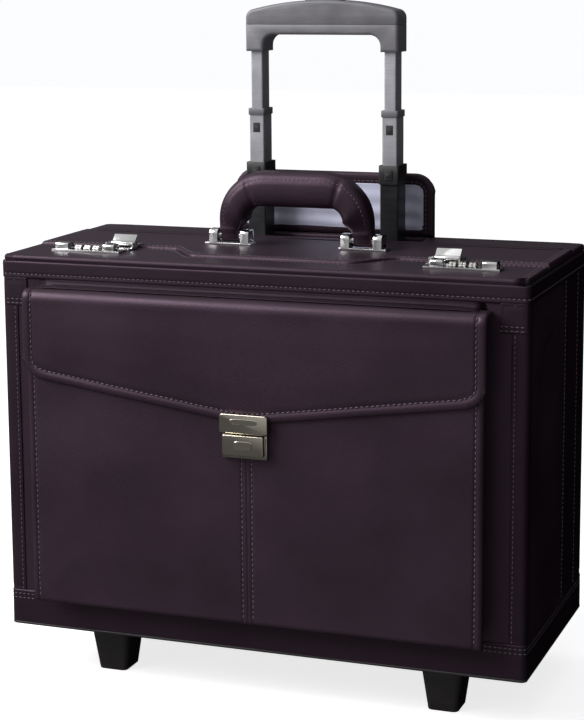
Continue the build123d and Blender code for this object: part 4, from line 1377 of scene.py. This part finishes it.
deck_top, deck_base = deck_high[2], deck_low[2]
deck_loops = [deck_loop(0.0, deck_base), deck_loop(0.0, deck_base + 0.0015)]
deck_loops += [deck_loop(0.0, deck_top - 0.0020 + 0.0020 * math.sin(angle), 0,
                         0.0020 * (1 - math.cos(angle)))
               for angle in (0.0, 0.4, 0.8, 1.2, 1.57)]
deck_loops += [deck_loop(share, deck_top + rise) for share, rise in
               ((0.10, 0.0001), (0.16, -0.0003), (0.22, 0.0001), (0.5, 0.0), (0.78, 0.0), (0.9, 0.0))]
deck_loops += [deck_loop(1.0, deck_top - 0.0022 + 0.0022 * math.cos(angle), 0.0022 * (1 - math.sin(angle)))
               for angle in (0.0, 0.4, 0.8, 1.2, 1.57)]
deck_loops += [deck_loop(1.0, deck_base + 0.0008, 0.0), deck_loop(1.0, deck_base, 0.0008),
               deck_loop(0.5, deck_base)]
add_piece("rear_deck_covered", ring_solid("deck", deck_loops), case_leather, "case",
          ("rear_deck",), crease=60)
slot_row = [Vector((*point.xy, deck_top - 0.0001))
            for point in rounded_loop(slot_half[0] + 0.0022, slot_half[1] + 0.0022, slot_round + 0.0022,
                                      trolley_y)]
sew("rear_deck_stitches", [slot_row + slot_row[:1]], "case", seed=23)

# ---- Trolley ----
# Three telescoping stages of anodised aluminium tube, black below and grey above, running
# in a pair of fixed black tubes. Moulded collars with a snap button guide each stage.
black_tube = metal("black_anodised", (0.012, 0.012, 0.014), (0.030, 0.030, 0.032), 0.30, 0.42, 0.35, 260.0)
grey_tube = metal("grey_anodised", (0.39, 0.385, 0.42), (0.50, 0.495, 0.53), 0.30, 0.44, 0.55, 420.0)


def moulded(name, dark, light, smooth, rough, scale=900.0):
    """Injection-moulded plastic with a fine etched texture and handling wear."""
    material, tree, shader, place = plain_material(name)
    etched = noise_mask(tree, place, scale, 3.0)
    marks = grouped(tree, handling_marks, place, 120.0).outputs[0]
    dress(tree, (marks, dark, light), (marks, smooth, rough), (etched, 0.25, 0.0003))
    return material


black_plastic = moulded("black_plastic", (0.014, 0.014, 0.016), (0.028, 0.028, 0.030), 0.38, 0.52)
grip_plastic = moulded("grip_plastic", (0.115, 0.110, 0.123), (0.165, 0.160, 0.175), 0.34, 0.48)
foot_plastic = moulded("foot_plastic", (0.014, 0.011, 0.011), (0.026, 0.021, 0.020), 0.45, 0.60)
finish_node("fixed_tubes", black_tube)
finish_node("lower_tubes", black_tube)
finish_node("middle_tubes", grey_tube)
finish_node("upper_tubes", grey_tube)
finish_node("trolley_base", black_plastic)
finish_node("trolley_guide", black_plastic)
soften_node("lower_collars", black_plastic, 0.0004, "trolley_lower")
soften_node("middle_collars", grip_plastic, 0.0003, "trolley_middle")
soften_node("grip_base", grip_plastic, 0.0004, "trolley_upper")
soften_node("grip_cap", grip_plastic, 0.0004, "trolley_upper")


def rounded_box(low, high, radius):
    """A box with rounded edges, for a small moulded detail."""
    work = bmesh.new()
    bmesh.ops.create_cube(work, size=1.0)
    low, high = Vector(low), Vector(high)
    for vert in work.verts:
        vert.co = Vector((low[axis] + (high[axis] - low[axis]) * (vert.co[axis] + 0.5) for axis in range(3)))
    bmesh.ops.bevel(work, geom=work.edges[:], offset=radius, segments=3, affect="EDGES", profile=0.5)
    return mesh_of("rounded_box", work)


tube_centres = [side * (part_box("upper_tubes")[1][0] - 0.0055) for side in (-1, 1)]
for stage, holder, body, drop, proud in (("lower", "lower_collars", "trolley_lower", 0.0085, 0.0008),
                                         ("middle", "middle_tubes", "trolley_middle", 0.0155, 0.00003)):
    low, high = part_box(holder)
    front, z = low[1], high[2] - drop
    frames = [rounded_box((x - 0.0036, front - proud, z - 0.0046), (x + 0.0036, front + 0.0006, z + 0.0046),
                          0.0003)
              for x in tube_centres]
    buttons = [rounded_box((x - 0.0020, front - proud * 1.6, z - 0.0024),
                           (x + 0.0020, front + 0.0006, z + 0.0016), 0.0003)
               for x in tube_centres]
    add_piece(f"{stage}_latch_frames", joined(frames), welt_plastic, body, crease=40)
    add_piece(f"{stage}_latch_buttons", joined(buttons), black_plastic, body, crease=40)

# ---- Trolley grip and its button ----
# A two-shell moulded grip on the upper tubes, with a ribbed push button in its top.
button_low_corner, button_high_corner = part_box("release_button")
soften_node("release_button", black_plastic, 0.0003, "release_button")
ribs = [rounded_box((x - 0.0008, button_low_corner[1] + 0.0028, button_high_corner[2] - 0.0006),
                    (x + 0.0008, button_high_corner[1] - 0.0028, button_high_corner[2] + 0.0007), 0.0005)
        for x in spaced(-0.0125, 0.0125, 0.0036)]
add_piece("release_button_ribs", joined(ribs), black_plastic, "release_button", crease=40)

# ---- Cover flap ----
# A padded flap that closes the trolley's slot when the handle is down, shown standing up
# behind it. Leather outside, blue-grey satin inside, bound all round with leather.
cover_low, cover_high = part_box("trolley_cover_flap")
cover_half = cover_high[0]
cover_round = 0.018
cover_middle = (cover_low[1] + cover_high[1]) / 2
cover_thick = cover_high[1] - cover_low[1]
binding_width = 0.0105                        # round the satin


def cover_edge(x):
    """Height of the flap's free edge, with rounded corners."""
    past = max(0.0, abs(x) - (cover_half - cover_round))
    return cover_high[2] - cover_round + math.sqrt(max(0.0, cover_round ** 2 - past ** 2))


def cover_place(a, b, c):
    return Vector((a, cover_middle + c, b))


def cover_outer(d, a, b):
    puff = 0.0008 * smooth_step(d, 0.006, 0.03) - 0.0004
    return (cover_thick / 2 - 0.0009) * rolled(d, 0.0038) + groove(d, 0.0065, 0.0012, 0.0005) + puff


def cover_inner(d, a, b):
    """The face that the binding turns over: full at the edge, lower inside the binding."""
    sunk = 0.0008 * smooth_step(d, 0.0098, 0.0112)
    return sunk - (cover_thick / 2 - 0.0012) * rolled(d, 0.0036) - groove(d, 0.0080, 0.001, 0.0003)


cover_x = seamed_values(-cover_half, cover_half, 0.003,
                        (-cover_half + binding_width, cover_half - binding_width))
cover_b = spaced(0.0, cover_high[2] - cover_low[2], 0.003,
                 edge_steps + (0.0050, 0.0065, 0.008, 0.0095, binding_width, 0.0115))
cover_mesh = sheet_slab("cover", cover_x, cover_b, lambda a: cover_low[2], cover_edge, cover_place,
                        cover_outer, cover_inner)
cover = add_piece("trolley_cover_flap_padded", cover_mesh, shade_darkened_leather, "cover_flap",
                  ("trolley_cover_flap",))

satin, tree, shader, place = plain_material("satin_lining")
twill = node(tree, "ShaderNodeTexWave", {"Vector": place, "Scale": 520.0, "Distortion": 0.3},
             bands_direction="DIAGONAL")
# The noise bands paint light and dark streaks into the satin's colour as painted sheen, and also vary its
# roughness. Both tones are painted lighter to make up for the shade the satin sits in.
painted_sheen_bands = noise_mask(tree, place, 26.0, 3.0)
dress(tree, (painted_sheen_bands, (0.30, 0.30, 0.41), (0.66, 0.66, 0.82)), (painted_sheen_bands, 0.32, 0.5),
      (twill.outputs["Fac"], 0.12, 0.0002))
shader.inputs["Sheen Weight"].default_value = 0.4
satin_inset = 0.0100
satin_half = cover_half - satin_inset
satin_top = cover_high[2] - satin_inset
satin_low = cover_low[2] + 0.004


def satin_edge(x):
    corner = cover_round - satin_inset
    past = max(0.0, abs(x) - (satin_half - corner))
    return satin_top - corner + math.sqrt(max(0.0, corner ** 2 - past ** 2))


def satin_face(d, a, b):
    """Shallow folds that run across the satin, flat where it is bound."""
    sway = 0.004 * noise.noise(Vector((a * 9, 0, 3.0)))
    folds = math.sin((b + sway) * 420 + 1.4 * noise.noise(Vector((a * 14, b * 20, 7.0))))
    crumple = noise.noise(Vector((a * 60, b * 90, 1.0)))
    return 0.0007 + smooth_step(d, 0.0, 0.006) * (0.0006 + 0.0006 * folds + 0.0005 * crumple)


satin_mesh = slab("satin", (-satin_half, satin_half), lambda a: satin_low, satin_edge,
                  lambda a, b, c: Vector((a, cover_middle - (cover_thick / 2 - 0.0022) - c, b)), satin_face,
                  lambda d, a, b: 0.0, step=0.0022, fine=(0.0, 0.001, 0.002))
satin_piece = add_piece("cover_flap_satin", satin_mesh, satin, "cover_flap")


def cover_line(inset):
    """Points (x, z) a constant distance inside the flap's sides and free edge."""
    corner = cover_round - inset
    line = [(-cover_half + inset, z) for z in spaced(cover_low[2] + 0.004, cover_high[2] - cover_round,
                                                     0.006)]
    for side in (-1, 1):
        arc = [(side * (cover_half - cover_round + corner * math.cos(math.pi / 2 * part / 8)),
                cover_high[2] - cover_round + corner * math.sin(math.pi / 2 * part / 8)) for part in range(9)]
        line += arc if side < 0 else arc[::-1]
    return line + [(cover_half - inset,
                    z) for z in reversed(spaced(cover_low[2] + 0.004, cover_high[2] - cover_round, 0.006))]


cover_rows = [[cover_place(x, z, -(cover_thick / 2 - 0.0012) + 0.0002) for x, z in cover_line(0.0080)],
              [cover_place(x, z, cover_thick / 2 - 0.0016) for x, z in cover_line(0.0065)]]
sew("cover_flap_stitches", cover_rows, "cover_flap", seed=29)
cover_tape = [(shell_rear + 0.0001, mouth - 0.010), (shell_rear + 0.0006, mouth - 0.004),
              (shell_rear + 0.0007, mouth + 0.003),
              (shell_rear + 0.0003, cover_low[2] + 0.001), (shell_rear - 0.0002, cover_low[2] + 0.006),
              (shell_rear - 0.0003, cover_low[2] + 0.012)]
tape("cover_flap_tape", cover_tape[::-1], cover_half - 0.003)

# ---- Front feet ----
# Two tapered moulded feet that hold the front of the case level with the wheels, each with
# a rubber pad let into its sole.
for side in ("right", "left"):
    soften_node(f"front_foot_{side}", foot_plastic, 0.0012, "case", 3, 40, 60)
pads = []
for side in (-1, 1):
    low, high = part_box("front_foot_right")
    centre = ((low[0] + high[0]) / 2 * side, (low[1] + high[1]) / 2)
    pads.append(rounded_box((centre[0] - 0.010, centre[1] - 0.012, 0.0),
                            (centre[0] + 0.010, centre[1] + 0.012, 0.0016), 0.0005))
wheel_rubber = moulded("wheel_rubber", (0.016, 0.016, 0.017), (0.040, 0.039, 0.038), 0.6, 0.8, 500.0)
add_piece("foot_pads", joined(pads), wheel_rubber, "case", crease=40)

# ---- Wheels, forks and screws ----
# Two rubber-tyred wheels on steel axles in pressed forks, each fork held to the floor
# board by four screws. The tyres have two grooves; the hubs are moulded with six ribs.
hub_plastic = moulded("hub_plastic", (0.045, 0.046, 0.050), (0.085, 0.086, 0.090), 0.35, 0.5)
soften_node("wheel_forks", painted_steel, 0.0004, "case")
finish_node("wheel_axles", dial_metal)


def lathe(name, profile, centre, samples=64):
    """A closed ring with a profile of (x, radius) points turned about the axle."""
    loops = []
    for part in range(samples):
        angle = math.tau * part / samples
        loops.append([Vector((centre.x + x, centre.y + radius * math.cos(angle),
                              centre.z + radius * math.sin(angle)))
                      for x, radius in profile])
    return ring_solid(name, loops)


for side in ("right", "left"):
    low, high = (Vector(corner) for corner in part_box(f"tyre_{side}"))
    centre = (low + high) / 2
    wide, radius = (high.x - low.x) / 2, (high.z - low.z) / 2
    hub_radius = (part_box(f"hub_{side}")[1][2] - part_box(f"hub_{side}")[0][2]) / 2
    tread = [(-wide, hub_radius), (-wide, radius - 0.003)]
    tread += [(-wide + 0.003 * (1 - math.cos(turned)),
               radius - 0.003 + 0.003 * math.sin(turned)) for turned in (0.4, 0.8, 1.2, 1.57)]
    for groove_x in (-0.0032, 0.0032):
        tread += [(groove_x - 0.0008, radius), (groove_x - 0.0004, radius - 0.0009),
                  (groove_x + 0.0004, radius - 0.0009),
                  (groove_x + 0.0008, radius)]
    tread += [(wide - 0.003 * (1 - math.cos(turned)),
               radius - 0.003 + 0.003 * math.sin(turned)) for turned in (1.57, 1.2, 0.8, 0.4)]
    tread += [(wide, radius - 0.003), (wide, hub_radius)]
    add_piece(f"tyre_{side}_grooved", lathe("tyre", tread, centre), wheel_rubber, f"wheel_{side}",
              (f"tyre_{side}",), crease=35)
    face, web = wide - 0.0004, wide - 0.0045
    hub_line = [(-face, 0.0031), (-face, 0.0058), (-web, 0.0066), (-web, hub_radius - 0.0024),
                (-face, hub_radius - 0.0016),
                (-face, hub_radius), (face, hub_radius), (face, hub_radius - 0.0016),
                (web, hub_radius - 0.0024),
                (web, 0.0066), (face, 0.0058), (face, 0.0031)]
    hub_parts = [lathe("hub", hub_line, centre)]
    for spoke in range(6):
        turned = Matrix.Translation(centre) @ Matrix.Rotation(math.tau * spoke / 6, 4, "X")
        for outward in (-1, 1):
            inner_x, outer_x = sorted((outward * (web - 0.001), outward * (face - 0.0008)))
            rib = rounded_box((inner_x, -0.0008, 0.0060), (outer_x, 0.0008, hub_radius - 0.0018), 0.0003)
            rib.transform(turned)
            hub_parts.append(rib)
    add_piece(f"hub_{side}_ribbed", joined(hub_parts), hub_plastic, f"wheel_{side}",
              (f"hub_{side}",), crease=35)


def make_screw_tree():
    """Pan-head screws with a cross recess, one at each point of a mesh, heads downwards."""
    sizes = (("Head Radius", "Float", 0.003), ("Head Height", "Float", 0.0015),
             ("Slot Width", "Float", 0.0007))
    tree, given = new_group("fork_screw", "GeometryNodeTree",
                            (("Geometry", "Geometry", None), *sizes, ("Seed", "Int", 2),
                             ("Metal", "Material", None)),
                            (("Geometry", "Geometry"),))
    head = node(tree, "GeometryNodeMeshCone",
                {"Vertices": 24, "Side Segments": 3, "Fill Segments": 1, "Radius Top": given["Head Radius"],
                                               "Radius Bottom": 0.0022, "Depth": given["Head Height"]})
    long_slot = maths(tree, "MULTIPLY", given["Head Radius"], 1.2)
    deep_slot = maths(tree, "MULTIPLY", given["Head Height"], 0.8)
    cut = head.outputs[0]
    for size_x, size_y in ((long_slot, given["Slot Width"]), (given["Slot Width"], long_slot)):
        size = node(tree, "ShaderNodeCombineXYZ", {0: size_x, 1: size_y, 2: deep_slot})
        bar = node(tree, "GeometryNodeMeshCube", {"Size": size.outputs[0]})
        cut = node(tree, "GeometryNodeMeshBoolean", {0: cut, 1: bar.outputs[0]},
                   operation="DIFFERENCE").outputs[0]
    spin = node(tree, "FunctionNodeRandomValue",
                {0: (0.0, 0.0, 0.0), 1: (0.0, 0.0, 3.1), "Seed": given["Seed"]},
                data_type="FLOAT_VECTOR")
    fixed = node(tree, "GeometryNodeInstanceOnPoints",
                 {"Points": given["Geometry"], "Instance": cut, "Rotation": spin.outputs[0]})
    real = node(tree, "GeometryNodeRealizeInstances", {0: fixed.outputs[0]})
    dressed = node(tree, "GeometryNodeSetMaterial",
                   {"Geometry": real.outputs[0], "Material": given["Metal"]})
    node(tree, "NodeGroupOutput", {0: dressed.outputs[0]})
    return tree


screw_low, screw_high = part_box("fork_screws")
screw_places = []
wheel_centre = (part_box("tyre_right")[0][0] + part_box("tyre_right")[1][0]) / 2
screw_reach = screw_high[0] - 0.003 - wheel_centre
for side in (1, -1):
    for reach in (-screw_reach, screw_reach):
        for y in (screw_low[1] + 0.003, screw_high[1] - 0.003):
            screw_places.append((side * (wheel_centre + reach), y, screw_low[2] + 0.0001))
screw_points = bpy.data.meshes.new("screw_points")
screw_points.from_pydata(screw_places, [], [])
screws = applied(screw_points, make_screw_tree(), {"Metal": dial_metal})
add_piece("fork_screw_heads", screws, dial_metal, "case", crease=30)
finish_node("fork_screws", dial_metal)
